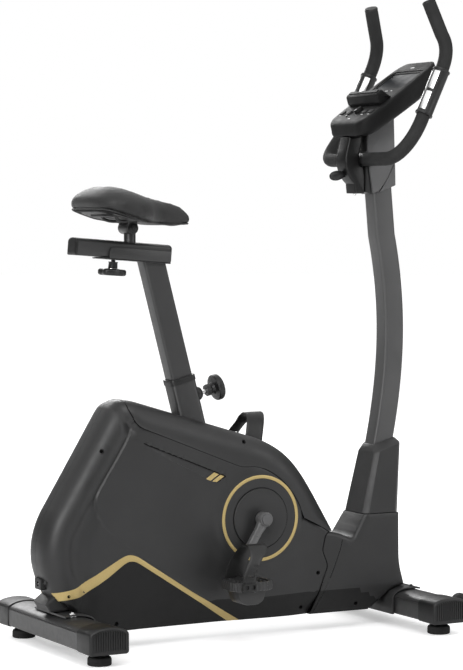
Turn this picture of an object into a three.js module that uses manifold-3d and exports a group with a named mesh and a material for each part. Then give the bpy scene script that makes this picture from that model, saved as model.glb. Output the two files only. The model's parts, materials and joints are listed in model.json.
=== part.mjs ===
// Upright magnetic exercise bike, as an assembly of separate parts.
//
// Millimetres. +X points forward, towards the handlebar, +Y to the rider's left and +Z up.
// The origin is on the floor, under the middle of the bike's bounding box.

import * as THREE from "three";
import { ConvexGeometry } from "three/addons/geometries/ConvexGeometry.js";
import { mergeVertices } from "three/addons/utils/BufferGeometryUtils.js";
import Module from "manifold-3d";

const wasm = await Module();
wasm.setup();

// ---------------------------------------------------------------- driving dimensions

const GAP = 0.3; // between neighbouring parts
const WALL = 3; // moulded covers

const FOOT = { radius: 25, padHeight: 19, stemRadius: 7, y: 192 };
const STABILIZER = { rearX: -418, frontX: 403, depth: 85, bottom: 29, shoulder: 66, crown: 82 };
const TUBE_HALF_LENGTH = 176; // stabiliser tube, up to its end caps
const CAP_END = 245;
const WHEEL = { x: 449.5, y: 205, z: 66, radius: 21, width: 18, axleRadius: 4 };

const BODY_HALF_WIDTH = 62;
const BODY_ROUNDING = 50; // how far the side panels sit inside the silhouette
const BODY_BOTTOM = 40;
const SIDE_JOINT_Z = 252; // between the front cover and the mast boot

const BEAM = { rear: -374, front: 356, halfWidth: 20, bottom: 52, top: 92 };

const CRANK = { x: 27, z: 261, length: 150, lean: 32, armInner: 76, armOuter: 90 };
const CRANK_DISC_RADIUS = 65;
const PEDAL = { length: 100, width: 86, thickness: 20, inner: 106 };
const STRAP_RISE = 78; // top of the toe strap above the pedal spindle

const PULLEY = { radius: 112, y0: 28, y1: 40 };
const FLYWHEEL = { x: -300, z: 235, radius: 120, y0: -30, y1: -4, pulleyRadius: 14 };
const BELT = { clearance: 0.9, thickness: 2 };
const BRAKE_PIVOT = { x: -158, z: 205 };
const IDLER_RADIUS = 16;

const SEAT_LEAN = 14.85; // degrees behind vertical
const SEAT_RIM = { x: -137.5, z: 566 }; // centre of the seat tube's mouth
const SEAT_TUBE = { depth: 58, width: 46, wall: 3.5, length: 490 };
const LOCK_DROP = 45; // from the seat tube's mouth down to the locking pin
const POST = { below: 300, above: 248 };
const SLIDER_SLOPE = 4.5; // degrees, falling towards the front
const SLIDER = { x: -287, z: 843, front: 121, rear: -111, width: 44, height: 37 };
const CARRIAGE = { front: 118, rear: -26, width: 56, floor: 3.5, side: 23 };
const SLIDER_KNOB_X = -4; // along the slider, from its centre

const MAST = { width: 44, depth: 50, wall: 2.5 };
const BAR = { x: 315, z: 1038, radius: 15, bendY: 112 };
const GRIP_RADIUS = 18.5;

const CONSOLE = { x: 276, z: 1121, slope: 34.8, length: 237, halfWidth: 78, thickness: 62 };
const CONSOLE_LIP = 17; // how far the console's chin reaches past its origin
const BUTTON_ROW = [60, 33, -33, -60];
const DIAL = { along: 44, radius: 11, clearance: 0.6 };

// ---------------------------------------------------------------- solids

const rad = THREE.MathUtils.degToRad;
const v2 = (x, y) => new THREE.Vector2(x, y);
const v3 = (x, y, z) => new THREE.Vector3(x, y, z);

// A closed geometry as a manifold solid, with its faces turned outwards.
function solid(geometry) {
  const bare = geometry.index ? geometry.toNonIndexed() : geometry.clone();
  for (const name of Object.keys(bare.attributes)) {
    if (name !== "position") bare.deleteAttribute(name);
  }
  const merged = mergeVertices(bare, 1e-3);
  const triVerts = new Uint32Array(merged.index.array);
  const vertProperties = merged.attributes.position.array;
  const make = () => new wasm.Manifold(new wasm.Mesh({ numProp: 3, vertProperties, triVerts }));
  const made = make();
  if (made.volume() > 0) return made;
  for (let i = 0; i < triVerts.length; i += 3) {
    [triVerts[i + 1], triVerts[i + 2]] = [triVerts[i + 2], triVerts[i + 1]];
  }
  return make();
}

function geometryOf(manifold) {
  const { vertProperties, triVerts } = manifold.getMesh();
  const geometry = new THREE.BufferGeometry();
  geometry.setAttribute("position", new THREE.Float32BufferAttribute(vertProperties, 3));
  geometry.setIndex(Array.from(triVerts));
  geometry.computeVertexNormals();
  return geometry;
}

const join = (first, ...rest) => rest.reduce((a, b) => a.add(b), first);
const cut = (first, ...rest) => rest.reduce((a, b) => a.subtract(b), first);

// A box between two corners.
function box(x0, x1, y0, y1, z0, z1) {
  const geometry = new THREE.BoxGeometry(x1 - x0, y1 - y0, z1 - z0);
  return solid(geometry.translate((x0 + x1) / 2, (y0 + y1) / 2, (z0 + z1) / 2));
}

// An outline in X and Z, extruded from y0 to y1. A bevel rounds both rims inwards.
function plateY(outline, y0, y1, bevel = null) {
  const shape = outline instanceof THREE.Shape ? outline : new THREE.Shape(outline);
  const round = bevel ?? { thickness: 0, size: 0, segments: 0 };
  const geometry = new THREE.ExtrudeGeometry(shape, {
    depth: y1 - y0 - 2 * round.thickness,
    bevelEnabled: bevel !== null,
    bevelThickness: round.thickness,
    bevelSize: round.size,
    bevelOffset: -round.size,
    bevelSegments: round.segments,
    curveSegments: 6,
  });
  return solid(geometry.translate(0, 0, round.thickness).rotateX(Math.PI / 2).translate(0, y1, 0));
}

// An outline in X and Y, extruded from z0 to z1.
function plateZ(outline, z0, z1, bevel = 0) {
  const shape = outline instanceof THREE.Shape ? outline : new THREE.Shape(outline);
  const geometry = new THREE.ExtrudeGeometry(shape, {
    depth: z1 - z0 - 2 * bevel,
    bevelEnabled: bevel > 0,
    bevelThickness: bevel,
    bevelSize: bevel,
    bevelOffset: -bevel,
    bevelSegments: 1,
    curveSegments: 2,
  });
  return solid(geometry.translate(0, 0, z0 + bevel));
}

// An outline in Y and Z, extruded from x0 to x1.
function plateX(outline, x0, x1) {
  const geometry = new THREE.ExtrudeGeometry(new THREE.Shape(outline), {
    depth: x1 - x0,
    bevelEnabled: false,
  });
  return solid(geometry.rotateY(Math.PI / 2).rotateX(Math.PI / 2).translate(x0, 0, 0));
}

// A cylinder along Y, from y0 to y1.
function rod(x, z, radius, y0, y1, sides = 20) {
  const geometry = new THREE.CylinderGeometry(radius, radius, y1 - y0, sides);
  return solid(geometry.translate(x, (y0 + y1) / 2, z));
}

// Cylinders along X and along Z.
function barX(radius, x0, x1, sides = 16) {
  const geometry = new THREE.CylinderGeometry(radius, radius, x1 - x0, sides).rotateZ(Math.PI / 2);
  return solid(geometry.translate((x0 + x1) / 2, 0, 0));
}

function barZ(radius, z0, z1, sides = 16) {
  const geometry = new THREE.CylinderGeometry(radius, radius, z1 - z0, sides).rotateX(Math.PI / 2);
  return solid(geometry.translate(0, 0, (z0 + z1) / 2));
}

// A ring along Y.
function tubeY(x, z, outer, inner, y0, y1, sides = 20) {
  return cut(rod(x, z, outer, y0, y1, sides), rod(x, z, inner, y0 - 1, y1 + 1, sides));
}

// A profile of [radius, height] pairs turned about Z.
function turned(profile, sides = 18) {
  const points = profile.map(([r, h]) => v2(r, h));
  return solid(new THREE.LatheGeometry(points, sides).rotateX(Math.PI / 2));
}

function roundedRect(width, height, radius) {
  const x = width / 2;
  const y = height / 2;
  const shape = new THREE.Shape();
  shape.moveTo(x - radius, -y);
  shape.absarc(x - radius, -y + radius, radius, -Math.PI / 2, 0);
  shape.absarc(x - radius, y - radius, radius, 0, Math.PI / 2);
  shape.absarc(-x + radius, y - radius, radius, Math.PI / 2, Math.PI);
  shape.absarc(-x + radius, -y + radius, radius, Math.PI, 1.5 * Math.PI);
  return shape;
}

// A section swept along a curve.
function sweep(section, path, steps, curveSegments = 1) {
  const options = { extrudePath: path, steps, bevelEnabled: false, curveSegments };
  return solid(new THREE.ExtrudeGeometry(section, options));
}

// A round section with the given number of sides.
function circle(radius, sides) {
  const corner = (_, i) => {
    const angle = (2 * Math.PI * i) / sides;
    return v2(radius * Math.cos(angle), radius * Math.sin(angle));
  };
  return new THREE.Shape(Array.from({ length: sides }, corner));
}

// Moves an outline inwards by a distance, corner by corner. It runs counter-clockwise.
function inset(points, distance) {
  const normal = (a, b) => b.clone().sub(a).normalize().rotateAround(v2(0, 0), Math.PI / 2);
  return points.map((point, i) => {
    const before = normal(points.at(i - 1), point);
    const after = normal(point, points[(i + 1) % points.length]);
    const mitre = before.clone().add(after).normalize();
    return point.clone().addScaledVector(mitre, distance / mitre.dot(before));
  });
}

// ---------------------------------------------------------------- the assembly

const bike = new THREE.Group();

const shellPlastic = finish(0x2c2c2d, 0.5, 0);
const darkPlastic = finish(0x1b1b1c, 0.6, 0);
const greyPlastic = finish(0x77787a, 0.55, 0);
const paintedSteel = finish(0x2a2a2b, 0.42, 0.35);
const rubber = finish(0x161616, 0.85, 0);
const leather = finish(0x232324, 0.62, 0);
const chrome = finish(0xd6d8da, 0.2, 1);
const castIron = finish(0x6c6e70, 0.45, 0.9);
const beltRubber = finish(0x111111, 0.8, 0);
const darkGlass = finish(0x0a0b0c, 0.12, 0);

function finish(color, roughness, metalness) {
  return () => new THREE.MeshStandardMaterial({ color, roughness, metalness });
}

function add(name, manifold, material, parent = bike) {
  const mesh = new THREE.Mesh(geometryOf(manifold), material());
  mesh.name = name;
  parent.add(mesh);
  return mesh;
}

function frameAt(x, y, z, tiltY = 0) {
  const group = new THREE.Group();
  group.position.set(x, y, z);
  group.rotation.y = tiltY;
  bike.add(group);
  return group;
}

const SIDES = [
  ["left", 1],
  ["right", -1],
];

// ---------------------------------------------------------------- stabilisers, feet, wheels

// Height of a stabiliser's arched crown, grown outwards by a distance.
function crownHeight(offset, grow = 0) {
  const half = STABILIZER.depth / 2 + grow;
  const rise = STABILIZER.crown - STABILIZER.shoulder;
  return STABILIZER.shoulder + grow + rise * Math.sqrt(Math.max(0, 1 - (offset / half) ** 2));
}

// Cross-section of a stabiliser in X and Z.
function stabilizerSection(x, grow = 0, steps = 10) {
  const half = STABILIZER.depth / 2 + grow;
  const points = [v2(x - half, STABILIZER.bottom - grow), v2(x + half, STABILIZER.bottom - grow)];
  for (let i = 0; i <= steps; i += 1) {
    const offset = half * Math.cos((Math.PI * i) / steps);
    points.push(v2(x + offset, crownHeight(offset, grow)));
  }
  return points;
}

function stabilizerTube(name, x) {
  const outer = plateY(stabilizerSection(x), -TUBE_HALF_LENGTH, TUBE_HALF_LENGTH);
  const hollow = plateY(stabilizerSection(x, -WALL), -TUBE_HALF_LENGTH - 1, TUBE_HALF_LENGTH + 1);
  add(name, cut(outer, hollow), paintedSteel);
}

// A moulded cap over the tube's end, with a socket for the foot's stem. The front ones hold a wheel.
function endCap(name, x, side, wheeled) {
  const y0 = TUBE_HALF_LENGTH + GAP;
  const bevel = { thickness: 5, size: 5, segments: 2 };
  let cap = plateY(stabilizerSection(x, 1.5), y0 - 10, CAP_END, bevel);
  cap = cut(cap, box(x - 60, x + 60, y0 - 12, y0, 0, 120));
  cap = cut(cap, barZ(FOOT.stemRadius + 1.5, STABILIZER.bottom - 5, STABILIZER.bottom + 15)
    .translate([x, FOOT.y, 0]));
  if (wheeled) {
    const half = WHEEL.width / 2 + 2;
    cap = cut(cap, rod(WHEEL.x, WHEEL.z, WHEEL.radius + 3, WHEEL.y - half, WHEEL.y + half));
    const lug = (y, inner, outer) => {
      const ear = plateY(circle(9, 12), Math.min(inner, outer), Math.max(inner, outer));
      return join(ear.translate([WHEEL.x, 0, WHEEL.z]), box(x + 30, WHEEL.x, inner, outer, 58, 74));
    };
    cap = join(
      cap,
      lug(0, WHEEL.y - half - 5, WHEEL.y - half),
      lug(0, WHEEL.y + half, WHEEL.y + half + 5),
      rod(WHEEL.x, WHEEL.z, WHEEL.axleRadius, WHEEL.y - half - 1, WHEEL.y + half + 1, 12),
    );
  }
  add(name, side > 0 ? cap : cap.mirror([0, 1, 0]), darkPlastic);
}

function levelingFoot(name, x, side) {
  const { radius, padHeight, stemRadius } = FOOT;
  const profile = [
    [0, 0],
    [radius, 0],
    [radius, padHeight - 3],
    [radius - 3, padHeight],
    [stemRadius, padHeight],
    [stemRadius, STABILIZER.bottom + 12],
    [0, STABILIZER.bottom + 12],
  ];
  add(name, turned(profile).translate([x, side * FOOT.y, 0]), rubber);
}

function transportWheel(name, side) {
  const half = WHEEL.width / 2;
  const profile = [
    [WHEEL.axleRadius + 0.4, -half],
    [WHEEL.radius - 2, -half],
    [WHEEL.radius, -half + 2],
    [WHEEL.radius, half - 2],
    [WHEEL.radius - 2, half],
    [WHEEL.axleRadius + 0.4, half],
    [WHEEL.axleRadius + 0.4, -half],
  ];
  const wheel = turned(profile).rotate([90, 0, 0]);
  add(name, wheel.translate([WHEEL.x, side * WHEEL.y, WHEEL.z]), rubber);
}

// ---------------------------------------------------------------- frame

// A solid built around Z, stood along the seat tube with its zero height at the tube's mouth.
function alongSeatTube(manifold) {
  return manifold.rotate([0, -SEAT_LEAN, 0]).translate([SEAT_RIM.x, 0, SEAT_RIM.z]);
}

// A bracket that lies over a stabiliser's crown and hangs down its inner side.
function saddleBracket(x, inner) {
  const thickness = 4;
  const lift = 1.3;
  const half = STABILIZER.depth / 2 + lift;
  const steps = 6;
  const under = [];
  const over = [];
  for (let i = 0; i <= steps; i += 1) {
    const offset = half * Math.cos(rad(124 - (124 * i) / steps));
    under.push(v2(x + inner * offset, crownHeight(offset, lift)));
    over.push(v2(x + inner * offset, crownHeight(offset, lift) + thickness));
  }
  const wall = x + inner * half;
  under.push(v2(wall, STABILIZER.bottom - 1));
  const back = wall + inner * 6;
  const outer = [v2(back, STABILIZER.bottom - 1), v2(back, STABILIZER.shoulder)];
  return plateY([...under, ...outer, ...over.slice(0, -1).reverse()], -78, 78);
}

// Lower part of the mast, straight from the beam up to the middle of the boot.
const MAST_FOOT = v3(322, 0, 200);
const MAST_KNEE = v3(366, 0, 410);
const mastDirection = MAST_KNEE.clone().sub(MAST_FOOT).normalize();

function mastStub() {
  const slack = 2;
  const width = MAST.width - 2 * MAST.wall - slack;
  const depth = MAST.depth - 2 * MAST.wall - slack;
  const at = (distance) => MAST_FOOT.clone().addScaledVector(mastDirection, distance);
  const stub = sweep(roundedRect(width, depth, 5), new THREE.LineCurve3(at(-116), at(110)), 1);
  const bore = roundedRect(width - 2 * WALL, depth - 2 * WALL, 3);
  return cut(stub, sweep(bore, new THREE.LineCurve3(at(-100), at(111)), 1));
}

// Box-section beam above the floor, with a drain slot underneath.
function floorBeam() {
  const { rear, front, halfWidth, bottom, top } = BEAM;
  const inner = halfWidth - WALL;
  const cavity = box(rear + WALL, front - WALL, -inner, inner, bottom + WALL, top - WALL);
  const drain = box(-200, -180, -6, 6, bottom - 1, bottom + WALL + 1);
  return cut(box(rear, front, -halfWidth, halfWidth, bottom, top), cavity, drain);
}

// Two cheek plates that hold the flywheel's axle.
function flywheelCheeks() {
  const { halfWidth, top } = BEAM;
  const foot = [FLYWHEEL.x - 45, FLYWHEEL.x + 45];
  const tip = FLYWHEEL.z + 27;
  const cheek = [
    v2(foot[0], top - 1),
    v2(foot[1], top - 1),
    v2(FLYWHEEL.x + 22, tip),
    v2(FLYWHEEL.x - 22, tip),
  ];
  const thickness = 5;
  return [-52, 46].flatMap((y) => [
    plateY(cheek, y, y + thickness),
    box(...foot, Math.min(y, -halfWidth), Math.max(y + thickness, halfWidth), top - 2, top + 1),
  ]);
}

// Bracket and pin beside the brake shoe, which swings on it.
function brakeMount() {
  const { x, z } = BRAKE_PIVOT;
  return [
    box(x + 9, x + 23, -40, -8, BEAM.top - 1, z + 8),
    box(x - 7, x + 23, -40, -34, z - 40, z + 8),
    rod(x, z, 4, -36, -5, 12),
  ];
}

function mainFrame() {
  const { depth, width, wall, length } = SEAT_TUBE;
  const section = (grow, radius) => roundedRect(depth + grow, width + grow, radius);
  const frame = join(
    floorBeam(),
    alongSeatTube(plateZ(section(0, 9), -length, 0)),
    alongSeatTube(plateZ(section(3, 10), -8, 3)),
    alongSeatTube(barX(11, 24, 42).translate([0, 0, -LOCK_DROP])),
    rod(CRANK.x, CRANK.z, 21, -26, 24),
    box(CRANK.x - 16, CRANK.x + 16, -18, 18, BEAM.top - 1, CRANK.z - 12),
    mastStub(),
    saddleBracket(STABILIZER.rearX, 1),
    saddleBracket(STABILIZER.frontX, -1),
    ...flywheelCheeks(),
    ...brakeMount(),
  );
  const bored = cut(
    frame,
    alongSeatTube(plateZ(section(-2 * wall, 6), -length + 4, 9)),
    alongSeatTube(barX(5.5, 10, 60).translate([0, 0, -LOCK_DROP])),
    rod(CRANK.x, CRANK.z, 9, -40, 40, 16),
    rod(FLYWHEEL.x, FLYWHEEL.z, 6.4, -60, 60, 16),
  );
  add("main_frame", bored, paintedSteel);
}

// ---------------------------------------------------------------- covers

// Silhouette of the body, counter-clockwise seen from the right.
function bodyOutline() {
  const shape = new THREE.Shape();
  shape.moveTo(-300, BODY_BOTTOM);
  shape.lineTo(228, BODY_BOTTOM);
  shape.lineTo(228, 219);
  shape.lineTo(182, 296);
  shape.bezierCurveTo(140, 365, 110, 408, 30, 434);
  shape.lineTo(-254, 520);
  shape.quadraticCurveTo(-300, 534, -318, 511);
  shape.lineTo(-440, 312);
  shape.bezierCurveTo(-490, 238, -480, 172, -448, 118);
  shape.lineTo(-372, 58);
  return shape.getPoints(6);
}

// The body's rounded block. Its outline shrinks towards the side panels in a quarter ellipse.
function bodyBlock(thickness) {
  const outline = thickness > 0 ? inset(bodyOutline(), thickness) : bodyOutline();
  const centre = v2(-120, 262);
  const reach = v2(353, 222);
  const layers = [];
  for (const angle of [-90, -62, -32, 0, 0, 32, 62, 90]) {
    const shrink = BODY_ROUNDING * (1 - Math.cos(rad(angle)));
    const scale = v2(1 - shrink / reach.x, 1 - shrink / reach.y);
    layers.push(outline.map((point) => point.clone().sub(centre).multiply(scale).add(centre)));
  }
  const flat = 22;
  const round = BODY_HALF_WIDTH - thickness - flat;
  const steps = [-1, -0.883, -0.53, 0, 0, 0.53, 0.883, 1];
  return stackY(layers, steps.map((t, i) => (i < 4 ? -flat : flat) + t * round));
}

// Closed skin through equal outlines in X and Z, one at each level of Y.
function stackY(layers, levels) {
  const count = layers[0].length;
  const positions = layers.flatMap((outline, i) => outline.flatMap((p) => [p.x, levels[i], p.y]));
  const index = [];
  for (let level = 0; level + 1 < layers.length; level += 1) {
    for (let i = 0; i < count; i += 1) {
      const a = level * count + i;
      const b = level * count + ((i + 1) % count);
      index.push(a, a + count, b, b, a + count, b + count);
    }
  }
  const cap = (outline, start, flip) => {
    for (const [i, j, k] of THREE.ShapeUtils.triangulateShape(outline, [])) {
      index.push(start + i, start + (flip ? k : j), start + (flip ? j : k));
    }
  };
  cap(layers[0], 0, false);
  cap(layers.at(-1), (layers.length - 1) * count, true);
  const geometry = new THREE.BufferGeometry();
  geometry.setAttribute("position", new THREE.Float32BufferAttribute(positions, 3));
  geometry.setIndex(index);
  return solid(geometry);
}

// The part of the body above the seam between the side shells and the top cover.
function coverRegion(gap) {
  const shape = new THREE.Shape();
  shape.moveTo(-284 - gap, 600);
  shape.lineTo(-284 - gap, 525);
  shape.quadraticCurveTo(-268 - gap, 470 - gap, -245 - gap, 464 - gap);
  shape.lineTo(-17, 374 - gap);
  shape.lineTo(12, 374 - gap);
  shape.bezierCurveTo(70, 366 - gap, 118 - gap, 310 - gap, 139 - gap, 255 - gap);
  shape.lineTo(187, 232 - gap);
  shape.lineTo(206, 219 - gap);
  shape.lineTo(240, 219 - gap);
  shape.lineTo(240, 600);
  return plateY(shape, -100, 100);
}

// What lies behind the joint between the side shells and the front cover, moved forward by a distance.
function behindFrontJoint(offset) {
  const joint = [v2(155, 30), v2(199, 147), v2(187, 180), v2(197, 213), v2(204, 218)];
  const moved = joint.map((point) => v2(point.x + offset, point.y));
  return plateY([v2(-600, 30), ...moved, v2(204 + offset, 700), v2(-600, 700)], -100, 100);
}

function bodyCovers() {
  const neck = box(-461, -372, -36, 36, 84, 122);
  const outer = join(bodyBlock(0), frontBlock(0));
  const hollow = join(bodyBlock(WALL), frontBlock(WALL));
  const shell = cut(join(outer, neck), hollow, coverRegion(GAP)).intersect(behindFrontJoint(0));
  // Room for the frame at the back, under the body.
  const rearMouth = box(-455, -360, -30, 30, 70, 118);
  const axleHole = rod(CRANK.x, CRANK.z, 22, -100, 100);
  const bracketRoom = box(-470, -355, -90, 90, 20, 91);
  const inletHole = box(-480, -440, -17, 17, 132, 158);
  const beamRoom = box(-380, -310, -23, 23, 30, 97);
  const trimmed = cut(shell, rearMouth, axleHole, bracketRoom, inletHole, beamRoom);
  for (const [name, side] of SIDES) {
    const half = box(-600, 600, GAP / 2, 100, 0, 700);
    add(`${name}_shell`, trimmed.intersect(side > 0 ? half : half.mirror([0, 1, 0])), shellPlastic);
  }
  const { depth, width } = SEAT_TUBE;
  const tubeRoom = alongSeatTube(plateZ(roundedRect(depth + 1, width + 1, 9.5), -200, 20));
  const front = box(-600, 226, -100, 100, 0, 700);
  const top = cut(bodyBlock(0).intersect(coverRegion(0)), bodyBlock(WALL), tubeRoom).intersect(front);
  add("top_cover", top, shellPlastic);
}

// Side view and front view of the cover around the mast's foot.
function frontBlock(thickness) {
  const side = [
    v2(90, BODY_BOTTOM),
    v2(318, BODY_BOTTOM),
    v2(344, 64),
    v2(399, 86),
    v2(386, 140),
    v2(392, SIDE_JOINT_Z - GAP),
    v2(300, SIDE_JOINT_Z - GAP),
    v2(268, 200),
    v2(236, 214),
    v2(90, 214),
  ];
  const half = [v2(48, 39), v2(62, 92), v2(60, 140), v2(48, 260)];
  const front = [...half, ...half.map((point) => v2(-point.x, point.y)).reverse()];
  const bevel = { thickness: 10, size: 9, segments: 2 };
  const outline = thickness > 0 ? inset(side, thickness) : side;
  const body = plateY(outline, -BODY_HALF_WIDTH + thickness, BODY_HALF_WIDTH - thickness, bevel);
  return body.intersect(plateX(thickness > 0 ? inset(front, thickness) : front, 0, 500));
}

function frontCover() {
  const outer = cut(frontBlock(0), behindFrontJoint(GAP));
  const mastRoom = mastPrism(1.5, -180, 100);
  const beamRoom = box(140, 420, -24, 24, 30, BEAM.top + 4);
  const bracketRoom = box(338, 420, -82, 82, 0, STABILIZER.crown + 7);
  const cover = cut(outer, frontBlock(WALL), mastRoom, beamRoom, bracketRoom);
  add("front_cover", cover, shellPlastic);
}

// A straight prism around the mast's lower part, grown by a distance.
function mastPrism(grow, from, to) {
  const section = roundedRect(MAST.width + 2 * grow, MAST.depth + 2 * grow, 8);
  const a = MAST_FOOT.clone().addScaledVector(mastDirection, from);
  const b = MAST_FOOT.clone().addScaledVector(mastDirection, to);
  return sweep(section, new THREE.LineCurve3(a, b), 1);
}

function rectangleAt(x0, x1, half, z0, z1) {
  return [v3(x0, -half, z0), v3(x0, half, z0), v3(x1, half, z1), v3(x1, -half, z1)];
}

function mastBoot() {
  const low = SIDE_JOINT_Z;
  const points = (shrink) => [
    ...rectangleAt(300 + shrink, 392 - shrink, 48 - shrink, low - shrink, low - shrink),
    ...rectangleAt(332 + shrink, 400 - shrink, 43 - shrink, 386, 408),
    ...rectangleAt(337 + shrink, 395 - shrink, 26, 403 - shrink, 418 - shrink),
  ];
  const outer = solid(new ConvexGeometry(points(0)));
  const hollow = solid(new ConvexGeometry(points(WALL)));
  add("mast_boot", cut(outer, hollow, mastPrism(GAP, 0, 320)), shellPlastic);
}

function powerInlet() {
  const body = box(-470.5, -444, -16, 16, 133, 157);
  const socket = box(-480, -456, -11, 11, 138, 152);
  add("power_inlet", cut(body, socket), darkPlastic);
}

// ---------------------------------------------------------------- drive

function crankArm(name, side) {
  const lean = rad(CRANK.lean);
  const direction = v2(-Math.sin(lean), -Math.cos(lean)).multiplyScalar(-side);
  const end = direction.clone().multiplyScalar(CRANK.length);
  const across = v2(-direction.y, direction.x);
  const web = [
    across.clone().multiplyScalar(13),
    across.clone().multiplyScalar(-13),
    end.clone().addScaledVector(across, -9.5),
    end.clone().addScaledVector(across, 9.5),
  ];
  const { armInner, armOuter } = CRANK;
  const [y0, y1] = side > 0 ? [armInner, armOuter] : [-armOuter, -armInner];
  const spindle = [side * armOuter - side * 3, side * (PEDAL.inner + PEDAL.width - 8)];
  const hub = side > 0 ? [70, 96] : [-96, -70];
  const arm = join(
    plateY(web, y0, y1),
    rod(0, 0, 19, hub[0], hub[1]),
    rod(end.x, end.y, 12, y0, y1, 20),
    rod(end.x, end.y, 7, Math.min(...spindle), Math.max(...spindle), 16),
  );
  const bored = cut(arm, rod(0, 0, 8.8, Math.min(0, side * 92), Math.max(0, side * 92), 16));
  const turn = frameAt(CRANK.x, 0, CRANK.z);
  add(name, bored, paintedSteel, turn);
  return v3(CRANK.x + end.x, 0, CRANK.z + end.y);
}

// The platform, its weighted underside and a bore for the spindle.
function pedal(name, side, at) {
  const { length, width, thickness, inner } = PEDAL;
  const middle = inner + width / 2;
  const platform = plateZ(roundedRect(length, width, 28), -thickness / 2, thickness / 2, 3);
  const keel = plateY(
    [v2(-34, -8), v2(-26, -36), v2(-14, -41), v2(14, -41), v2(26, -36), v2(34, -8)],
    -24,
    24,
  );
  const bore = rod(0, 0, 7.6, -width, width / 2 - 5, 16);
  const body = cut(join(platform, keel), bore);
  const sided = side > 0 ? body : body.mirror([0, 1, 0]);
  add(name, sided, darkPlastic, frameAt(at.x, side * middle, at.z));
}

// A flat band that arches over the pedal from its inner rim to its outer rim.
function pedalStrap(name, side, at) {
  const { width, thickness, inner } = PEDAL;
  const half = width / 2 + 3;
  const band = (grow) => {
    const shape = new THREE.Shape();
    shape.moveTo(-half - grow, -thickness / 2 - 2);
    shape.bezierCurveTo(-half - grow - 4, 58, -30, STRAP_RISE + grow, 0, STRAP_RISE + grow);
    shape.bezierCurveTo(30, STRAP_RISE + grow, half + grow + 4, 58, half + grow, -thickness / 2 - 2);
    return shape;
  };
  const outer = plateX(band(0.4).getPoints(6), -22, 22);
  const hollow = plateX(band(-2.4).getPoints(6), -60, 60);
  const hem = box(-30, 30, -half - 6, half + 6, -thickness / 2 - 4, -thickness / 2 - 1);
  const strap = cut(outer, hollow, hem, rod(0, 0, 8.4, -60, 60, 12));
  add(name, strap, rubber, frameAt(at.x, side * (inner + width / 2), at.z));
}

function crankSet() {
  const { radius, y0, y1 } = PULLEY;
  const pulleyProfile = [
    [9, y0],
    [30, y0],
    [radius - 9, y0 + 4],
    [radius, y0],
    [radius, y1],
    [radius - 9, y1 - 4],
    [30, y1],
    [9, y1],
    [9, y0],
  ];
  const pulley = turned(pulleyProfile, 36).rotate([-90, 0, 0]);
  add("drive_pulley", pulley.translate([CRANK.x, 0, CRANK.z]), darkPlastic);
  add("crank_axle", rod(CRANK.x, CRANK.z, 8.5, -90, 90, 16), chrome);
  for (const [name, side] of SIDES) {
    const end = crankArm(`${name}_crank_arm`, side);
    const inner = BODY_HALF_WIDTH + 1;
    const cover = tubeY(CRANK.x, CRANK.z, CRANK_DISC_RADIUS, 8.8, inner, inner + 4, 28);
    add(`${name}_crank_cover`, side > 0 ? cover : cover.mirror([0, 1, 0]), shellPlastic);
    pedal(`${name}_pedal`, side, end);
    pedalStrap(`${name}_pedal_strap`, side, end);
  }
}

// Outline of a belt round both pulleys, at a distance from their rims.
function beltOutline(distance) {
  const axle = v2(FLYWHEEL.x, FLYWHEEL.z);
  const crank = v2(CRANK.x, CRANK.z);
  const small = FLYWHEEL.pulleyRadius + distance;
  const large = PULLEY.radius + distance;
  const along = crank.clone().sub(axle);
  const spread = Math.acos((small - large) / along.length());
  const shape = new THREE.Shape();
  const heading = along.angle();
  shape.absarc(crank.x, crank.y, large, heading - spread, heading + spread);
  shape.absarc(axle.x, axle.y, small, heading + spread, heading - spread + 2 * Math.PI);
  return shape.getPoints(10);
}

function drive() {
  const { y0, y1 } = PULLEY;
  const belt = cut(
    plateY(beltOutline(BELT.clearance + BELT.thickness), y0 + 1, y1 - 1),
    plateY(beltOutline(BELT.clearance), y0, y1),
  );
  add("drive_belt", belt, beltRubber);

  const { x, z, radius, pulleyRadius } = FLYWHEEL;
  const profile = [
    [6.9, FLYWHEEL.y0 + 2],
    [26, FLYWHEEL.y0 + 2],
    [radius - 20, FLYWHEEL.y0 + 8],
    [radius - 18, FLYWHEEL.y0],
    [radius, FLYWHEEL.y0],
    [radius, FLYWHEEL.y1],
    [radius - 18, FLYWHEEL.y1],
    [radius - 20, FLYWHEEL.y1 - 8],
    [22, FLYWHEEL.y1 - 8],
    [pulleyRadius, y0 - 2],
    [pulleyRadius, y0],
    [pulleyRadius, y1],
    [6.9, y1],
    [6.9, FLYWHEEL.y0 + 2],
  ];
  add("flywheel", turned(profile, 30).rotate([-90, 0, 0]).translate([x, 0, z]), castIron);
  add("flywheel_axle", rod(x, z, 6, -56, 56, 16), chrome);
  brakeShoe();
  idler();
  add("tension_motor", motorBody(), darkPlastic);
}

// The motor's spool stands on its gearbox.
function motorBody() {
  const gearbox = box(-128, -84, -34, 2, BEAM.top + GAP, 132);
  const spool = turned([
    [0, 0],
    [11, 0],
    [11, 10],
    [0, 10],
  ]);
  return join(gearbox, spool.translate([-106, -16, 131]));
}

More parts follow.
